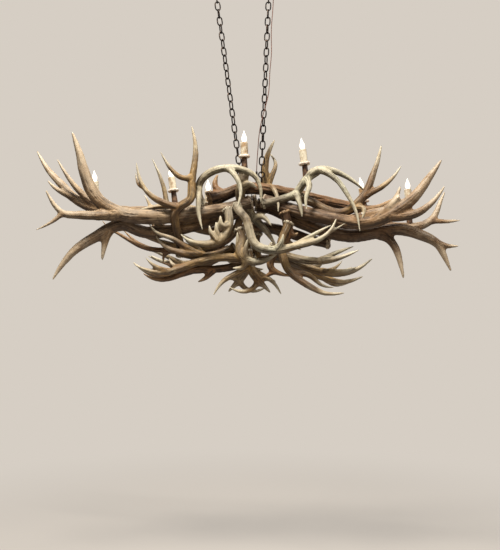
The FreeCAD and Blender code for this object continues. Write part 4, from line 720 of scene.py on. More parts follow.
def grown(name, source, tree, **inputs):
    """The mesh that a tree makes of a source object, as a plain piece."""
    modifier = source.modifiers.new(tree.name, "NODES")
    modifier.node_group = tree
    sockets = {item.name.replace(" ", "_"): item.identifier
               for item in tree.interface.items_tree if item.in_out == "INPUT"}
    for label, value in inputs.items():
        modifier[sockets[label]] = value
    depsgraph = bpy.context.evaluated_depsgraph_get()
    mesh = bpy.data.meshes.new_from_object(source.evaluated_get(depsgraph),
                                           preserve_all_data_layers=True,
                                           depsgraph=depsgraph)
    bpy.data.objects.remove(source)
    mesh.name = name
    return piece_from(name, mesh)


def swept(line, radius, sides):
    """Round skin along a line; its attribute rim says where on the round a point is."""
    tree = line.tree
    circle = tree("GeometryNodeCurvePrimitiveCircle", {"Resolution": sides, "Radius": 1.0},
                  "Curve")
    profile = circle.store("rim", tree("GeometryNodeInputPosition"), "FLOAT_VECTOR")
    return tree("GeometryNodeCurveToMesh", {"Curve": line, "Profile Curve": profile,
                                            "Scale": radius, "Fill Caps": True})


CRUMB_FACES = 900.0


def outer_skin(mesh, grain, depth, share):
    """Skin at a share of a depth inside a mesh; whatever closes up inside it is dropped."""
    tree = mesh.tree
    filled = tree("GeometryNodeMeshToVolume",
                  {"Mesh": mesh, "Voxel Size": grain, "Interior Band Width": depth},
                  resolution_mode="VOXEL_SIZE")
    skin = tree("GeometryNodeVolumeToMesh", {"Volume": filled, "Threshold": share},
                resolution_mode="GRID")
    island = tree("GeometryNodeInputMeshIsland", output="Island Index")
    faces = tree("GeometryNodeAccumulateField", {"Value": 1.0, "Group ID": island}, "Total",
                 data_type="FLOAT", domain="FACE")
    return tree("GeometryNodeDeleteGeometry", {
        "Geometry": skin, "Selection": faces.maths("LESS_THAN", CRUMB_FACES)}, domain="FACE")


def antler_tree():
    tree, given = new_tree("antler_skin", {
        "Sides": ("Int", 24), "Groove Depth": ("Float", 0.0016), "Grooves": ("Float", 2.0),
        "Pearl Height": ("Float", 0.0008), "Burr Height": ("Float", 0.006),
        "Swelling": ("Float", 0.05), "Aged": ("Float", 0.5), "Seed": ("Float", 0.0),
        "Web": ("Float", 0.006), "Grain Size": ("Float", 0.0035), "Bone": ("Material", None)})
    sides, web, grain = given["Sides"], given["Web"], given["Grain Size"]
    line = tree("GeometryNodeMeshToCurve", {"Mesh": given["Geometry"]})
    jacket = swept(line, (tree.named("thick") + web).maths("MAXIMUM", 0.0001), sides)
    skin = outer_skin(outer_skin(jacket, grain, grain, 0.01), grain, web * 2.0, 0.5)
    calm = tree("GeometryNodeInputPosition").blurred(3, "FLOAT_VECTOR")
    skin = tree("GeometryNodeSetPosition", {"Geometry": skin, "Position": calm})
    core = swept(line, tree.named("thick").maths("MAXIMUM", 0.0004), sides)
    for word, kind in (("rim", "FLOAT_VECTOR"), ("along", "FLOAT"), ("thick", "FLOAT"),
                       ("tone", "FLOAT"), ("burr", "FLOAT")):
        skin = skin.store(word, tree("GeometryNodeSampleNearestSurface", {
            "Mesh": core, "Value": tree.named(word, kind)}, data_type=kind), kind)
    thick, tone, along, seam, jump = (
        tree.named(word) for word in ("thick", "tone", "along", "seam", "jump"))
    skin = skin.store("tone", tone.blurred(14))
    skin = skin.store("jump", (along - along.blurred(3)).maths("ABSOLUTE").ramp(0.01, 0.06))
    skin = skin.store("seam", jump.blurred(3).ramp(0.05, 0.6))
    rim_x, rim_y, _ = tree.named("rim", "FLOAT_VECTOR").parts()
    further = along + given["Seed"]

    def limb_noise(around, lengthways, detail):
        place = tree.xyz(rim_x * around, rim_y * around, further * lengthways)
        return tree("ShaderNodeTexNoise", {"Vector": place, "Scale": 1.0, "Detail": detail})

    long_grooves = limb_noise(given["Grooves"], 9.0, 2.0).ramp(0.36, 0.52)
    rough = tone.ramp(0.35, 0.95, 1.0, 0.12) * (
        thick.ramp(0.004, 0.016) * seam.ramp(0.0, 1.0, 1.0, 0.0))
    sunk = (long_grooves - 1.0) * (rough * given["Groove Depth"])
    pearls = (limb_noise(5.0, 160.0, 1.0) - 0.5) * (
        tone.ramp(0.0, 0.5, 3.0, 0.3) * given["Pearl Height"])
    broad = (limb_noise(0.8, 16.0, 0.0) - 0.55) * (thick * 4.0 * given["Swelling"])
    knobs = tree.named("burr") * (
        given["Burr Height"] * limb_noise(3.2, 60.0, 1.0).ramp(0.3, 0.62, 0.3, 1.2))
    normal = tree("GeometryNodeInputNormal")
    shaped = tree("GeometryNodeSetPosition", {
        "Geometry": skin, "Offset": normal.scaled((sunk + pearls) + (broad + knobs))})
    round_out = thick + 0.004
    shaped = shaped.store("bark", tree.xyz(rim_x * round_out, rim_y * round_out, further),
                          "FLOAT_VECTOR")
    # How far each point faces down, with some noise: the material paints shade where this is
    # high and a highlight where it is low.
    upright = normal.parts()[2] + limb_noise(1.5, 12.0, 2.0) * 0.5
    for word, value in (("under", upright.ramp(-0.75, 0.45, 1.0, 0.0)),
                        ("groove", long_grooves), ("aged", given["Aged"])):
        shaped = shaped.store(word, value)
    return close_tree(shaped, given["Bone"])


ANTLER_TREE = antler_tree()
print("antler tree with", len(ANTLER_TREE.nodes), "nodes")

# %% [markdown]
# Every antler has its own age, which the layout gives for the near side. A bleached one is
# cream to sage, an old one tan to brown, and the few from the forest floor are as dark as bark.
# The far side, which hangs in the shade of the near side, is made browner as painted shade.

# %% Grow the antlers
BARKY = "elk_antler_spine"
DARK = (BARKY, "mule_antler_low_left_dark", "mule_antler_bottom_right",
        "mule_antler_left_thin")
BARKY_DEPTH, DARK_DEPTH, BARKY_STUMP = 0.0055, 0.0034, 0.3


def grow_antler(name, layout, number, age_and_shade, turned=None):
    """Bone round the antler's lines. The barky one has a stout base and rough skin."""
    kind, girth, _, *lines = layout
    rule, barky, dark = KINDS[kind], name == BARKY, name in DARK
    limbs = limbs_of(rule, girth, *lines, stump=BARKY_STUMP if barky else 0.0)
    slot = "dark_antler" if dark else rule["slot"]
    bone = grown(name.replace("_antler", "_bone"),
                 string_mesh(name + "_lines", limbs, turned, rule["web"]), ANTLER_TREE,
                 Sides=rule["sides"], Grooves=rule["grooves"],
                 Burr_Height=0.008 if barky else 0.006,
                 Pearl_Height=0.002 if barky else 0.0008,
                 Groove_Depth=BARKY_DEPTH if barky else DARK_DEPTH if dark else rule["depth"],
                 Web=rule["web"] / 1000, Grain_Size=rule["grain"], Aged=age_and_shade,
                 Seed=3.1 * number, Bone=ANTLER_FINISH[slot])
    return finish(bone, "fixture", slot, name)


bones = [grow_antler(name, layout, number, layout[2])
         for number, (name, layout) in enumerate(ANTLERS.items(), 1)]
# The far side's antlers are made browner as painted shade.
bones += [grow_antler(name, ANTLERS[near], number, 0.75 + 0.25 * math.sin(2.4 * number), shift)
          for number, (name, (near, shift)) in enumerate(FAR_SIDE.items(), 50)]
print(len(bones), "antlers,", sum(len(bone.data.polygons) for bone in bones), "faces")

# %% [markdown]
# ## Metal
# The canopy, the rings and the chains are blackened steel with a bronze cast that shows where
# hands have rubbed it. The screws and threaded pipes are plain steel.

# %% Metal, cord and wax finishes
def metal_material(name, dark, rubbed, metallic, rough, patch=60.0):
    """Two colours in patches; a rubbed patch is smoother."""
    tree, place = new_material(name)
    wear = cloud(place, patch, 4.0)
    return surface(principled(tree, {
        "Base Color": wear.ramp(0.45, 0.72).blend(tint(*dark), tint(*rubbed)),
        "Metallic": metallic, "Roughness": wear.ramp(0.3, 0.8, rough, rough - 0.16)},
        cloud(place, patch * 12, 2.0), 0.0003, 0.5))


bronze = metal_material("dark_bronze_paint", (36, 31, 28), (64, 50, 40), 0.75, 0.52, 25)
chain_black = metal_material("blackened_chain", (34, 30, 29), (96, 78, 64), 0.85, 0.5, 90)
plain_steel = metal_material("plain_steel", (128, 126, 122), (168, 165, 158), 1.0, 0.42)
stem_bark = metal_material("stem_bone", (74, 50, 34), (150, 112, 76), 0.0, 0.66, 40)
moulded = metal_material("moulded_socket", (26, 25, 24), (46, 42, 38), 0.0, 0.5)
brass = metal_material("lamp_base_brass", (150, 118, 66), (196, 160, 96), 1.0, 0.36)


def jacket_material():
    """Woven jacket: fine slanting threads, from the cord's object coordinates."""
    tree, place = new_material("brown_cord_jacket")
    weave = tree("ShaderNodeTexWave", {"Vector": place, "Scale": 260.0, "Distortion": 1.5},
                 bands_direction="DIAGONAL")
    return surface(principled(tree, {
        "Base Color": weave.blend(tint(74, 42, 30), tint(122, 72, 50)), "Roughness": 0.6},
        weave, 0.0004))


def sleeve_material():
    """Ivory sleeve with brown smoke stains and wax runs."""
    tree, place = new_material("ivory_candle_sleeve")
    smoked = cloud(place, 30.0, 5.0).ramp(0.42, 0.72).blend(
        tint(238, 226, 198), tint(176, 140, 98))
    streak = cloud(place, 1.0, 4.0, 0.6, (190.0, 190.0, 26.0))
    colour = streak.ramp(0.5, 0.75, 0.0, 0.55).blend(smoked, tint(128, 96, 66))
    return surface(principled(tree, {"Base Color": colour, "Roughness": 0.5},
                              streak, 0.0012, 0.6))


def slice_material():
    """Antler slice: pale patches with dark pores all over."""
    tree, place = new_material("sliced_antler")
    pores = tree("ShaderNodeTexVoronoi", {"Vector": place, "Scale": 480.0})
    patched = cloud(place, 45.0, 4.0).ramp(0.42, 0.75).blend(
        tint(240, 229, 214), tint(200, 172, 146))
    colour = pores.ramp(0.0, 0.35, 0.5, 0.0).blend(patched, tint(126, 96, 76))
    return surface(principled(tree, {"Base Color": colour, "Roughness": 0.6},
                              pores, 0.0008, 0.5))


ivory, sliced = sleeve_material(), slice_material()
lamp_cord.data.materials.append(jacket_material())
for material, nodes in (
        (plain_steel, ("mounting_strap", "strap_nuts", "fixing_screws", "lamp_pipes")),
        (bronze, ("canopy_collars", "upper_cord_nipple", "lower_cord_nipple",
                  "eye_bolt_nuts")),
        (moulded, ("candle_sockets",))):
    for node in nodes:
        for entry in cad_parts[node].material_slots:
            entry.material = material
print("finishes on the carried-over nodes")

# %% [markdown]
# ## Chains
# A chain is one link repeated. The tree makes the link from an oval line and a round wire,
# sets one on each of the evenly spaced points of the chain's line, and turns every second
# link by a quarter, as links lie when they hang.

# %% Chains from a tree
LINK_COUNT, LINK_PITCH, FIRST_LINK = 23, 0.0397, 0.0162
LINK_LENGTH, LINK_WIDTH, LINK_WIRE = 0.052, 0.031, 0.0066
OVAL_POINTS, WIRE_SIDES, WAIST = 28, 10, 0.86
LOOPS = (Vector((-0.133, 0, -0.071)), Vector((0.133, 0, -0.071)))
EYES = (Vector((-0.011635, 0, -0.968633)), Vector((0.095069, 0, -0.976005)))


def stood_along(way, turn):
    """Rotation that stands a piece along a way and turns it about that way."""
    tree = way.tree
    stood = tree("FunctionNodeAlignRotationToVector", {"Vector": way}, axis="Z")
    about = tree("FunctionNodeEulerToRotation", {0: tree.xyz(z=turn)})
    return tree("FunctionNodeRotateRotation", {"Rotation": stood, "Rotate By": about},
                rotation_space="LOCAL")


def chain_tree():
    tree, given = new_tree("hanging_chain", {
        "Links": ("Int", 2), "Link Length": ("Float", 0.05), "Link Width": ("Float", 0.03),
        "Wire": ("Float", 0.005), "Twist": ("Float", 0.6), "Steel": ("Material", None)})
    line = tree("GeometryNodeMeshToCurve", {"Mesh": given["Geometry"]})
    line = tree("GeometryNodeResampleCurve", {"Curve": line, "Count": given["Links"]})
    wide, tall = given["Link Width"] - given["Wire"], given["Link Length"] - given["Wire"]
    oval = tree("GeometryNodeCurvePrimitiveQuadrilateral", {"Width": wide, "Height": tall})
    oval = tree("GeometryNodeFilletCurve",
                {"Curve": oval, "Radius": wide * 0.4999, "Count": 7}, mode="POLY")
    oval = tree("GeometryNodeResampleCurve", {"Curve": oval, "Count": OVAL_POINTS})
    across, up, _ = tree("GeometryNodeInputPosition").parts()
    bulge = (up / tall * math.pi).maths("COSINE") * 0.14 + WAIST
    oval = tree("GeometryNodeSetPosition",
                {"Geometry": oval, "Position": tree.xyz(across * bulge, up)})
    link = tree("GeometryNodeTransform", {
        "Geometry": swept(oval, given["Wire"] * 0.5, WIRE_SIDES),
        "Rotation": (math.pi / 2, 0.0, math.pi / 2)})
    index = tree("GeometryNodeInputIndex")
    slack = (index / (given["Links"] - 1.0) * math.pi).maths("SINE")
    turn = index.maths("MODULO", 2.0) * (math.pi / 2) + slack * given["Twist"]
    upwards = tree("GeometryNodeInputTangent").scaled(-1.0)
    chain = tree("GeometryNodeInstanceOnPoints",
                 {"Points": line, "Instance": link, "Rotation": stood_along(upwards, turn)})
    return close_tree(chain, given["Steel"])


CHAIN_TREE = chain_tree()
for side, loop, eye, twist in (("left", LOOPS[0], EYES[0], 0.65),
                               ("right", LOOPS[1], EYES[1], -0.5)):
    down = (eye - loop).normalized()
    first = loop + down * FIRST_LINK
    mesh = bpy.data.meshes.new(side + "_chain_line")
    mesh.from_pydata([first, first + down * (LINK_PITCH * (LINK_COUNT - 1))], [(0, 1)], [])
    chain = grown(side + "_chain_links", piece_from(side + "_chain_line", mesh), CHAIN_TREE,
                  Links=LINK_COUNT, Link_Length=LINK_LENGTH, Link_Width=LINK_WIDTH,
                  Wire=LINK_WIRE, Twist=twist, Steel=chain_black)
    finish(chain, "chains", "chain_steel", "chain_" + side)
    print(chain.name, len(chain.data.polygons), "faces")

# %% [markdown]
# ## Rings on studs
# The ceiling loops and the eye bolts are the same forging: a closed ring on a round stud. A
# turned section bent into a ring and a lathe profile for the stud make it, with a shoulder
# where they are welded.

# %% Turned pieces, rings and studs
def turned_mesh(bm, profile, sides, matrix=None):
    """Lathe form from (radius, height) pairs about Z; pairs of radius 0 close it."""
    rings = []
    for radius, height in profile:
        if radius <= 0:
            rings.append([bm.verts.new((0, 0, height))])
            continue
        rings.append([bm.verts.new((radius * math.cos(2 * math.pi * k / sides),
                                    radius * math.sin(2 * math.pi * k / sides), height))
                      for k in range(sides)])
    for low, high in zip(rings, rings[1:]):
        for k in range(sides):
            j = (k + 1) % sides
            corners = [low[k % len(low)], low[j % len(low)], high[j % len(high)],
                       high[k % len(high)]]
            unique = list(dict.fromkeys(corners))
            if len(unique) > 2:
                bm.faces.new(unique)
    made = [vert for ring in rings for vert in ring]
    if matrix:
        bmesh.ops.transform(bm, matrix=matrix, verts=made)
    return made


def bridge(bm, rows):
    """Faces between each closed row of corners and the next one."""
    for row, following in zip(rows, rows[1:]):
        for k in range(len(row)):
            j = (k + 1) % len(row)
            bm.faces.new((row[k], row[j], following[j], following[k]))


def ring_mesh(bm, centre, radius, wire, around=40, sides=14):
    rows = []
    for step in range(around):
        turn = 2 * math.pi * step / around
        outward = Vector((math.cos(turn), 0, math.sin(turn)))
        rows.append([bm.verts.new(centre + outward * (radius + wire * math.cos(a))
                                  + Vector((0, wire * math.sin(a), 0)))
                     for a in (2 * math.pi * k / sides for k in range(sides))])
    bridge(bm, rows + rows[:1])


def mesh_of(name, bm, material):
    bmesh.ops.recalc_face_normals(bm, faces=bm.faces)
    mesh = bpy.data.meshes.new(name)
    bm.to_mesh(mesh)
    bm.free()
    mesh.materials.append(material)
    mesh.polygons.foreach_set("use_smooth", [True] * len(mesh.polygons))
    mesh.update()
    return piece_from(name, mesh)


def canopy_mesh():
    """Pressed oblong cover: outlines up the outside, over the rim and down the inside."""
    low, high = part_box("ceiling_canopy")
    middle, half = (low + high) / 2, (high - low) / 2
    wall, rounding = 0.0015, 0.006
    slopes = [(1 - math.sin(turn), 1 - math.cos(turn)) for turn in np.radians(range(0, 91, 15))]
    rows = [(half.y - 0.001, low.z)]
    rows += [(rounding * x, low.z + rounding * z) for x, z in slopes]
    rows += [(0.0, high.z - 0.0005), (0.0004, high.z), (wall - 0.0004, high.z),
             (wall, high.z - 0.0005)]
    rows += [(wall + (rounding - wall) * x, low.z + wall + (rounding - wall) * z)
             for x, z in reversed(slopes)]
    rows.append((half.y - 0.001, low.z + wall))
    bm = bmesh.new()
    outlines = []
    for inset, height in rows:
        radius = half.y - inset
        outlines.append([bm.verts.new((
            middle.x + side * (half.x - half.y) + radius * math.cos(turn + (side < 0) * math.pi),
            middle.y + radius * math.sin(turn + (side < 0) * math.pi), height))
            for side in (1, -1) for turn in np.linspace(-math.pi / 2, math.pi / 2, 25)])
    bridge(bm, outlines)
    bm.faces.new(outlines[0])
    bm.faces.new(outlines[-1])
    return mesh_of("pressed_canopy", bm, bronze)


finish(canopy_mesh(), "ceiling", "dark_bronze_steel", "ceiling_canopy")
RING_RADIUS, RING_WIRE, STUD_RADIUS = 0.014, 0.0035, 0.005
THREAD_START, THREAD_PITCH, THREAD_DEPTH = 0.009, 0.0015, 0.0006


def rings_on_studs(name, centres, rise, ends):
    """Rings at centres, each with a stud on side rise that ends at a height."""
    bm = bmesh.new()
    for centre, end in zip(centres, ends):
        ring_mesh(bm, centre, RING_RADIUS, RING_WIRE)
        start = centre.z + rise * (RING_RADIUS - 0.001)
        length = abs(end - start)
        profile = [(0, 0), (0.0062, 0), (0.0062, 0.003), (STUD_RADIUS, 0.0055)]
        for turn in range(int((length - 0.012) / THREAD_PITCH)):
            height = THREAD_START + THREAD_PITCH * turn
            profile += [(STUD_RADIUS, height),
                        (STUD_RADIUS - THREAD_DEPTH, height + THREAD_PITCH / 2)]
        profile += [(STUD_RADIUS - 0.0008, length - 0.0004), (0, length)]
        spin = Matrix.Translation((centre.x, centre.y, start))
        if rise < 0:
            spin = spin @ Matrix.Rotation(math.pi, 4, "X")
        turned_mesh(bm, profile, 18, spin)
    return mesh_of(name, bm, bronze)


loop_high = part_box("ceiling_loops")[1]
loop_centres = [loop + Vector((0, 0, RING_RADIUS)) for loop in LOOPS]
finish(rings_on_studs("ceiling_ring_bolts", loop_centres, 1, [loop_high.z] * 2),
       "ceiling", "dark_bronze_steel", "ceiling_loops")
bolt_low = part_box("eye_bolts")[0]
eye_centres = [eye - Vector((0, 0, RING_RADIUS)) for eye in EYES]
finish(rings_on_studs("eye_ring_bolts", eye_centres, -1, [bolt_low.z] * 2),
       "fixture", "dark_bronze_steel", "eye_bolts")
print("rings and studs made")

# %% [markdown]
# ## Candle lights
# Seven lights stand in the antlers. Each has a stub of antler as its stem, a slice of antler
# as its drip pan, an ivory sleeve with wax runs and a flame-shaped lamp. One tree stands a
# piece on every stem top, leans it with its candle and turns it a little further each time,
# so that no two show the same side. A last touch of noise makes each a little different.

# %% Places of the lights
# Each row: the stem's top in mm, the candle's axis and the stem's length in mm.
LIGHTS = [
    ((-765.7, 161.6, -1066.8), (-0.06832, -0.0205, 0.99745), 70.4),
    ((-350.2, 67.1, -1062.2), (-0.14132, 0.03854, 0.98921), 79.7),
    ((-174.3, 118.0, -1122.9), (-0.03445, 0.02584, 0.99907), 40.1),
    ((10.2, -40.3, -912.0), (-0.01459, -0.02189, 0.99965), 61.0),
    ((304.0, -74.5, -956.5), (-0.1176, -0.00653, 0.99304), 77.1),
    ((636.0, 191.4, -1096.2), (-0.14392, -0.01799, 0.98943), 35.2),
    ((873.3, 203.7, -1098.9), (-0.02968, 0.02968, 0.99912), 126.2)]
TURN_EACH = 1.3


def light_points(name):
    """A point on every stem top, with the candle's lean, stem length and turn."""
    mesh = bpy.data.meshes.new(name)
    mesh.from_pydata([tuple(c / 1000 for c in top) for top, _, _ in LIGHTS], [], [])
    for word, kind, values in (
            ("lean", "FLOAT_VECTOR", [c for _, axis, _ in LIGHTS for c in axis]),
            ("stem", "FLOAT", [length / 1000 for _, _, length in LIGHTS]),
            ("turn", "FLOAT", [TURN_EACH * k for k in range(len(LIGHTS))])):
        stored = mesh.attributes.new(word, kind, "POINT")
        stored.data.foreach_set("vector" if kind == "FLOAT_VECTOR" else "value", values)
    return piece_from(name, mesh)


def standing_tree():
    tree, given = new_tree("stand_on_each_stem", {
        "Piece": ("Object", None), "Follow Stem": ("Float", 0.0), "Wobble": ("Float", 0.0005),
        "Seed": ("Float", 1.0), "Finish": ("Material", None)})
    shape = tree("GeometryNodeObjectInfo", {"Object": given["Piece"]}, "Geometry")
    turned = stood_along(tree.named("lean", "FLOAT_VECTOR"), tree.named("turn"))
    taller = (tree.named("stem") - 1.0) * given["Follow Stem"] + 1.0
    stand = tree("GeometryNodeInstanceOnPoints",
                 {"Points": given["Geometry"], "Instance": shape, "Rotation": turned,
                  "Scale": tree.xyz(1.0, 1.0, taller)})
    real = tree("GeometryNodeRealizeInstances", {"Geometry": stand})
    waves = tree("ShaderNodeTexNoise", {
        "Vector": tree("GeometryNodeInputPosition"), "Scale": 55.0, "W": given["Seed"]},
        "Color", noise_dimensions="4D")
    centred = tree("ShaderNodeVectorMath", {0: waves, 1: (0.5, 0.5, 0.5)},
                   operation="SUBTRACT")
    moved = tree("GeometryNodeSetPosition",
                 {"Geometry": real, "Offset": centred.scaled(given["Wobble"])})
    return close_tree(moved, given["Finish"])


STANDING_TREE = standing_tree()
print(len(LIGHTS), "lights")

# %% [markdown]
# The sleeve is a tube whose lip has melted unevenly and whose wax has run down in tongues
# that end in drops. A ring of profiles, each with its own lip height and its own tongues,
# says that directly. The pan is a slice with a worn edge, and the stem a stub with flutes.

# %% Sleeve, pan and stem
SLEEVE_RADIUS, SLEEVE_BORE, SLEEVE_LENGTH, PAN_THICKNESS = 0.019, 0.0155, 0.068, 0.008
LIP_MELT, LIP_ROUNDING, WALL_INSET, WAX_DEPTH = 0.0022, 0.0008, 0.0012, 0.0014
RUNS = [(0.4, 0.3, 0.9), (1.5, 0.22, 0.45), (2.3, 0.2, 0.75), (3.4, 0.34, 0.6),
        (4.5, 0.2, 0.95), (5.5, 0.25, 0.35)]


def sleeve_mesh():
    """Outer wall with wax runs, melted lip, inner wall; runs are (angle, width, length)."""
    around, rows = 60, 26
    bm = bmesh.new()
    columns = []
    for step in range(around):
        turn = 2 * math.pi * step / around
        lip = (SLEEVE_LENGTH - LIP_MELT + 0.0012 * math.sin(2 * turn + 1)
               + 0.001 * math.sin(5 * turn))
        column = [(SLEEVE_BORE, 0.0)]
        for row in range(rows):
            share = row / (rows - 1)
            height = share * lip
            wide = SLEEVE_RADIUS - WALL_INSET
            for angle, width, length in RUNS:
                away = abs((turn - angle + math.pi) % (2 * math.pi) - math.pi) / width
                below = (1 - share) / length
                if away < 1 and below < 1.05:
                    bead = 1.0 + 0.5 * math.exp(-((below - 0.92) / 0.08) ** 2)
                    fade = min(1.0, (1.05 - below) / 0.08)
                    wide += WAX_DEPTH * math.sqrt(1 - away * away) * bead * fade * 0.8
            if share > 0.97:
                wide -= LIP_ROUNDING
            column.append((min(wide, SLEEVE_RADIUS), height))
        column += [(SLEEVE_BORE + 0.0006, lip - 0.0002), (SLEEVE_BORE, lip - 0.0014)]
        columns.append([bm.verts.new((radius * math.cos(turn), radius * math.sin(turn),
                                      height + PAN_THICKNESS)) for radius, height in column])
    for column, following in zip(columns, columns[1:] + columns[:1]):
        for k in range(len(column)):
            j = (k + 1) % len(column)
            bm.faces.new((column[k], following[k], following[j], column[j]))
    return mesh_of("one_sleeve", bm, ivory)


def pan_mesh():
    bm = bmesh.new()
    rim, hole, thick = 0.029, 0.0052, PAN_THICKNESS
    turned_mesh(bm, [(hole, 0), (0.018, -0.0005), (rim - 0.004, -0.0022), (rim - 0.001, 0.001),
                     (rim, thick * 0.5), (rim - 0.001, thick), (rim - 0.0035, thick + 0.0026),
                     (rim - 0.0065, thick + 0.0022), (0.0196, thick + 0.0034),
                     (0.019, thick), (hole, thick), (hole, 0)], 48)
    bmesh.ops.remove_doubles(bm, verts=bm.verts, dist=1e-6)
    for vert in bm.verts:
        radius = math.hypot(vert.co.x, vert.co.y)
        if radius > 0.02:
            turn = math.atan2(vert.co.y, vert.co.x)
            vert.co.xy *= 1 - 0.035 * (0.5 + 0.5 * math.sin(3 * turn + 0.6 * math.sin(7 * turn)))
    return mesh_of("one_pan", bm, sliced)


def stem_mesh():
    """Unit-high stub, hung down from its top; the tree stretches it to its length."""
    bm = bmesh.new()
    profile = [(0, -1), (0.0160, -1), (0.0158, -0.8), (0.0146, -0.5), (0.0136, -0.25),
               (0.0130, -0.06), (0.0124, 0), (0, 0)]
    verts = turned_mesh(bm, profile, 36)
    for vert in verts:
        turn = math.atan2(vert.co.y, vert.co.x)
        vert.co.xy *= 1 - 0.05 * (0.5 + 0.5 * math.sin(9 * turn + 2 * math.sin(2 * turn)))
    return mesh_of("one_stem", bm, stem_bark)


for name, shape, follow, wobble, material, slot, node in (
        ("wax_run_sleeves", sleeve_mesh(), 0.0, 0.0012, ivory, "candle_sleeve",
         "candle_sleeves"),
        ("antler_slice_pans", pan_mesh(), 0.0, 0.0014, sliced, "pan_antler", "drip_pans"),
        ("antler_stub_stems", stem_mesh(), 1.0, 0.0022, stem_bark, "stem_antler",
         "candle_stems")):
    stood = grown(name, light_points(name + "_points"), STANDING_TREE, Piece=shape,
                  Follow_Stem=follow, Wobble=wobble, Finish=material)
    bpy.data.objects.remove(shape)
    finish(stood, "fixture", slot, node)
    print(stood.name, len(stood.data.polygons), "faces")

# %% [markdown]
# ## Flame lamps
# Each lamp is a small glass blown like a flame, with a bent tip, on a brass screw base. It is
# lit, so its glass glows: white in the belly and warmer towards its edge. Layer Weight gives
# that edge, which is a property of the glass and not of the place of the camera.

# %% Flame lamps
def glow_material():
    tree, _ = new_material("lit_flame_glass")
    edge = tree("ShaderNodeLayerWeight", {"Blend": 0.35}, "Facing")
    return surface(principled(tree, {
        "Base Color": tint(255, 246, 230), "Roughness": 0.12,
        "Emission Color": edge.ramp(0.35, 1.0).blend(tint(255, 250, 238),
                                                     tint(255, 196, 128)),
        "Emission Strength": edge.ramp(0.25, 0.95, 1.7, 0.9)}))


glow = glow_material()
FLAME = [(0.0, 0.22), (0.05, 0.25), (0.14, 0.36), (0.25, 0.46), (0.34, 0.495), (0.44, 0.47),
         (0.55, 0.385), (0.66, 0.27), (0.76, 0.175), (0.85, 0.105), (0.92, 0.065),
         (0.97, 0.04), (0.995, 0.018)]
GLASS_LOW, GLASS_LENGTH, GLASS_WIDTH = 0.071, 0.062, 0.027
BASE_LOW, BASE_RADIUS = 0.051, 0.006


def flame_lamp(number, top, axis):
    bm = bmesh.new()
    profile = [(width * GLASS_WIDTH, GLASS_LOW + share * GLASS_LENGTH)
               for share, width in FLAME]
    glass = turned_mesh(bm, [(0, GLASS_LOW)] + profile + [(0, GLASS_LOW + GLASS_LENGTH)], 32)
    for vert in glass:
        share = (vert.co.z - GLASS_LOW) / GLASS_LENGTH
        vert.co.x += 0.0022 * max(0.0, share - 0.45) ** 2 / 0.3 * math.cos(share * 2.2)
    threads = [(0, BASE_LOW), (0.003, BASE_LOW), (0.0034, BASE_LOW + 0.002)]
    for turn in range(5):
        threads += [(BASE_RADIUS, BASE_LOW + 0.004 + 0.0026 * turn),
                    (BASE_RADIUS - 0.0006, BASE_LOW + 0.0053 + 0.0026 * turn)]
    threads += [(BASE_RADIUS, GLASS_LOW - 0.001), (BASE_RADIUS, GLASS_LOW + 0.0004),
                (0, GLASS_LOW + 0.0004)]
    base = set(turned_mesh(bm, threads, 24))
    lean = Vector((0, 0, 1)).rotation_difference(Vector(axis)).to_matrix().to_4x4()
    spin = Matrix.Rotation(2.1 * number, 4, "Z")
    bmesh.ops.transform(bm, verts=bm.verts,
                        matrix=Matrix.Translation(Vector(top) / 1000) @ lean @ spin)
    for face in bm.faces:
        face.material_index = 1 if all(vert in base for vert in face.verts) else 0
    lamp = mesh_of("flame_lamp_%d" % number, bm, glow)
    lamp.data.materials.append(brass)
    return finish(lamp, "bulb_%d" % number, "bulb_glass", "bulb_%d" % number)


for number, (top, axis, _) in enumerate(LIGHTS, 1):
    flame_lamp(number, top, axis)
print("lamps lit")

# %% [markdown]
# ## Studio
# A large plain floor that reaches the horizon, a pale world and three soft lamps. The key
# stands above and in front, as the room light does in such a house, and the world only fills
# the shadows.

# %% Floor and lights
FLOOR_Z, FLOOR_SIZE = -2.9, 40.0
BACKGROUND = tint(214, 206, 196)


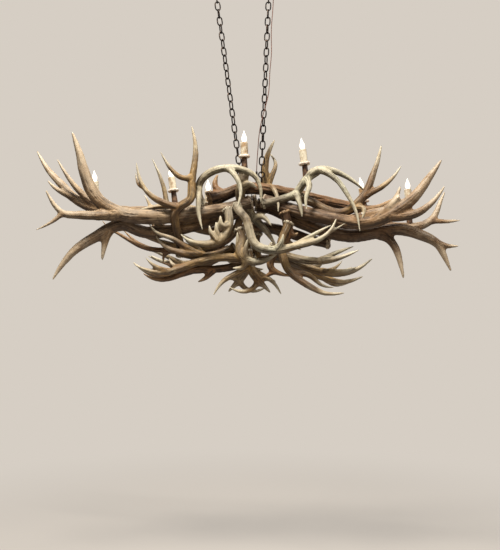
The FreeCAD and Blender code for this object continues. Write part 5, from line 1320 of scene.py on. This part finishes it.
def floor_paint():
    """Matt paint that the camera sees fade into the colour of the background."""
    tree, place = new_material("floor_paint")
    paint = principled(tree, {"Base Color": BACKGROUND, "Roughness": 0.9,
                              "Specular IOR Level": 0.0})
    plain = tree("ShaderNodeEmission", {"Color": BACKGROUND, "Strength": 1.0})
    far = tree("ShaderNodeVectorMath", {0: place}, 1, operation="LENGTH")
    seen = tree("ShaderNodeLightPath", output="Is Camera Ray")
    return surface(tree("ShaderNodeMixShader", {
        0: seen * far.ramp(1.0, 3.2, 0.6, 1.0), 1: paint, 2: plain}))


bm = bmesh.new()
bmesh.ops.create_grid(bm, x_segments=1, y_segments=1, size=FLOOR_SIZE)
floor_mesh = bpy.data.meshes.new("studio_floor")
bm.to_mesh(floor_mesh)
bm.free()
floor_mesh.materials.append(floor_paint())
floor = piece_from("studio_floor", floor_mesh)
floor.location.z = FLOOR_Z

world = bpy.data.worlds.new("pale_room")
bpy.context.scene.world = world
world.use_nodes = True
world.node_tree.nodes.clear()
sky = Tree(world.node_tree, world)
sky.node("ShaderNodeOutputWorld", {"Surface": sky("ShaderNodeMixShader", {
    0: sky("ShaderNodeLightPath", output="Is Camera Ray"),
    1: sky("ShaderNodeBackground", {"Color": (0.97, 0.96, 1.0, 1.0), "Strength": 0.12}),
    2: sky("ShaderNodeBackground", {"Color": BACKGROUND, "Strength": 1.0})})})

# Each row: the name, place, size in metres, power in watts and colour of a square lamp.
for name, place, size, power, colour in (
        ("key", (-0.7, -1.4, 1.8), 0.8, 190.0, (1.0, 0.96, 0.9)),
        ("side", (2.2, -1.4, 1.0), 0.9, 45.0, (1.0, 0.96, 0.91)),
        ("back", (0.4, 2.0, 1.8), 1.2, 40.0, (1.0, 0.95, 0.88))):
    light = bpy.data.lights.new(name, "AREA")
    light.shape, light.size, light.energy, light.color = "SQUARE", size, power, colour
    lamp = piece_from(name, light)
    lamp.location = place
    lamp.rotation_euler = (DATUM - Vector(place)).to_track_quat("-Z", "Y").to_euler()
print("studio lit")
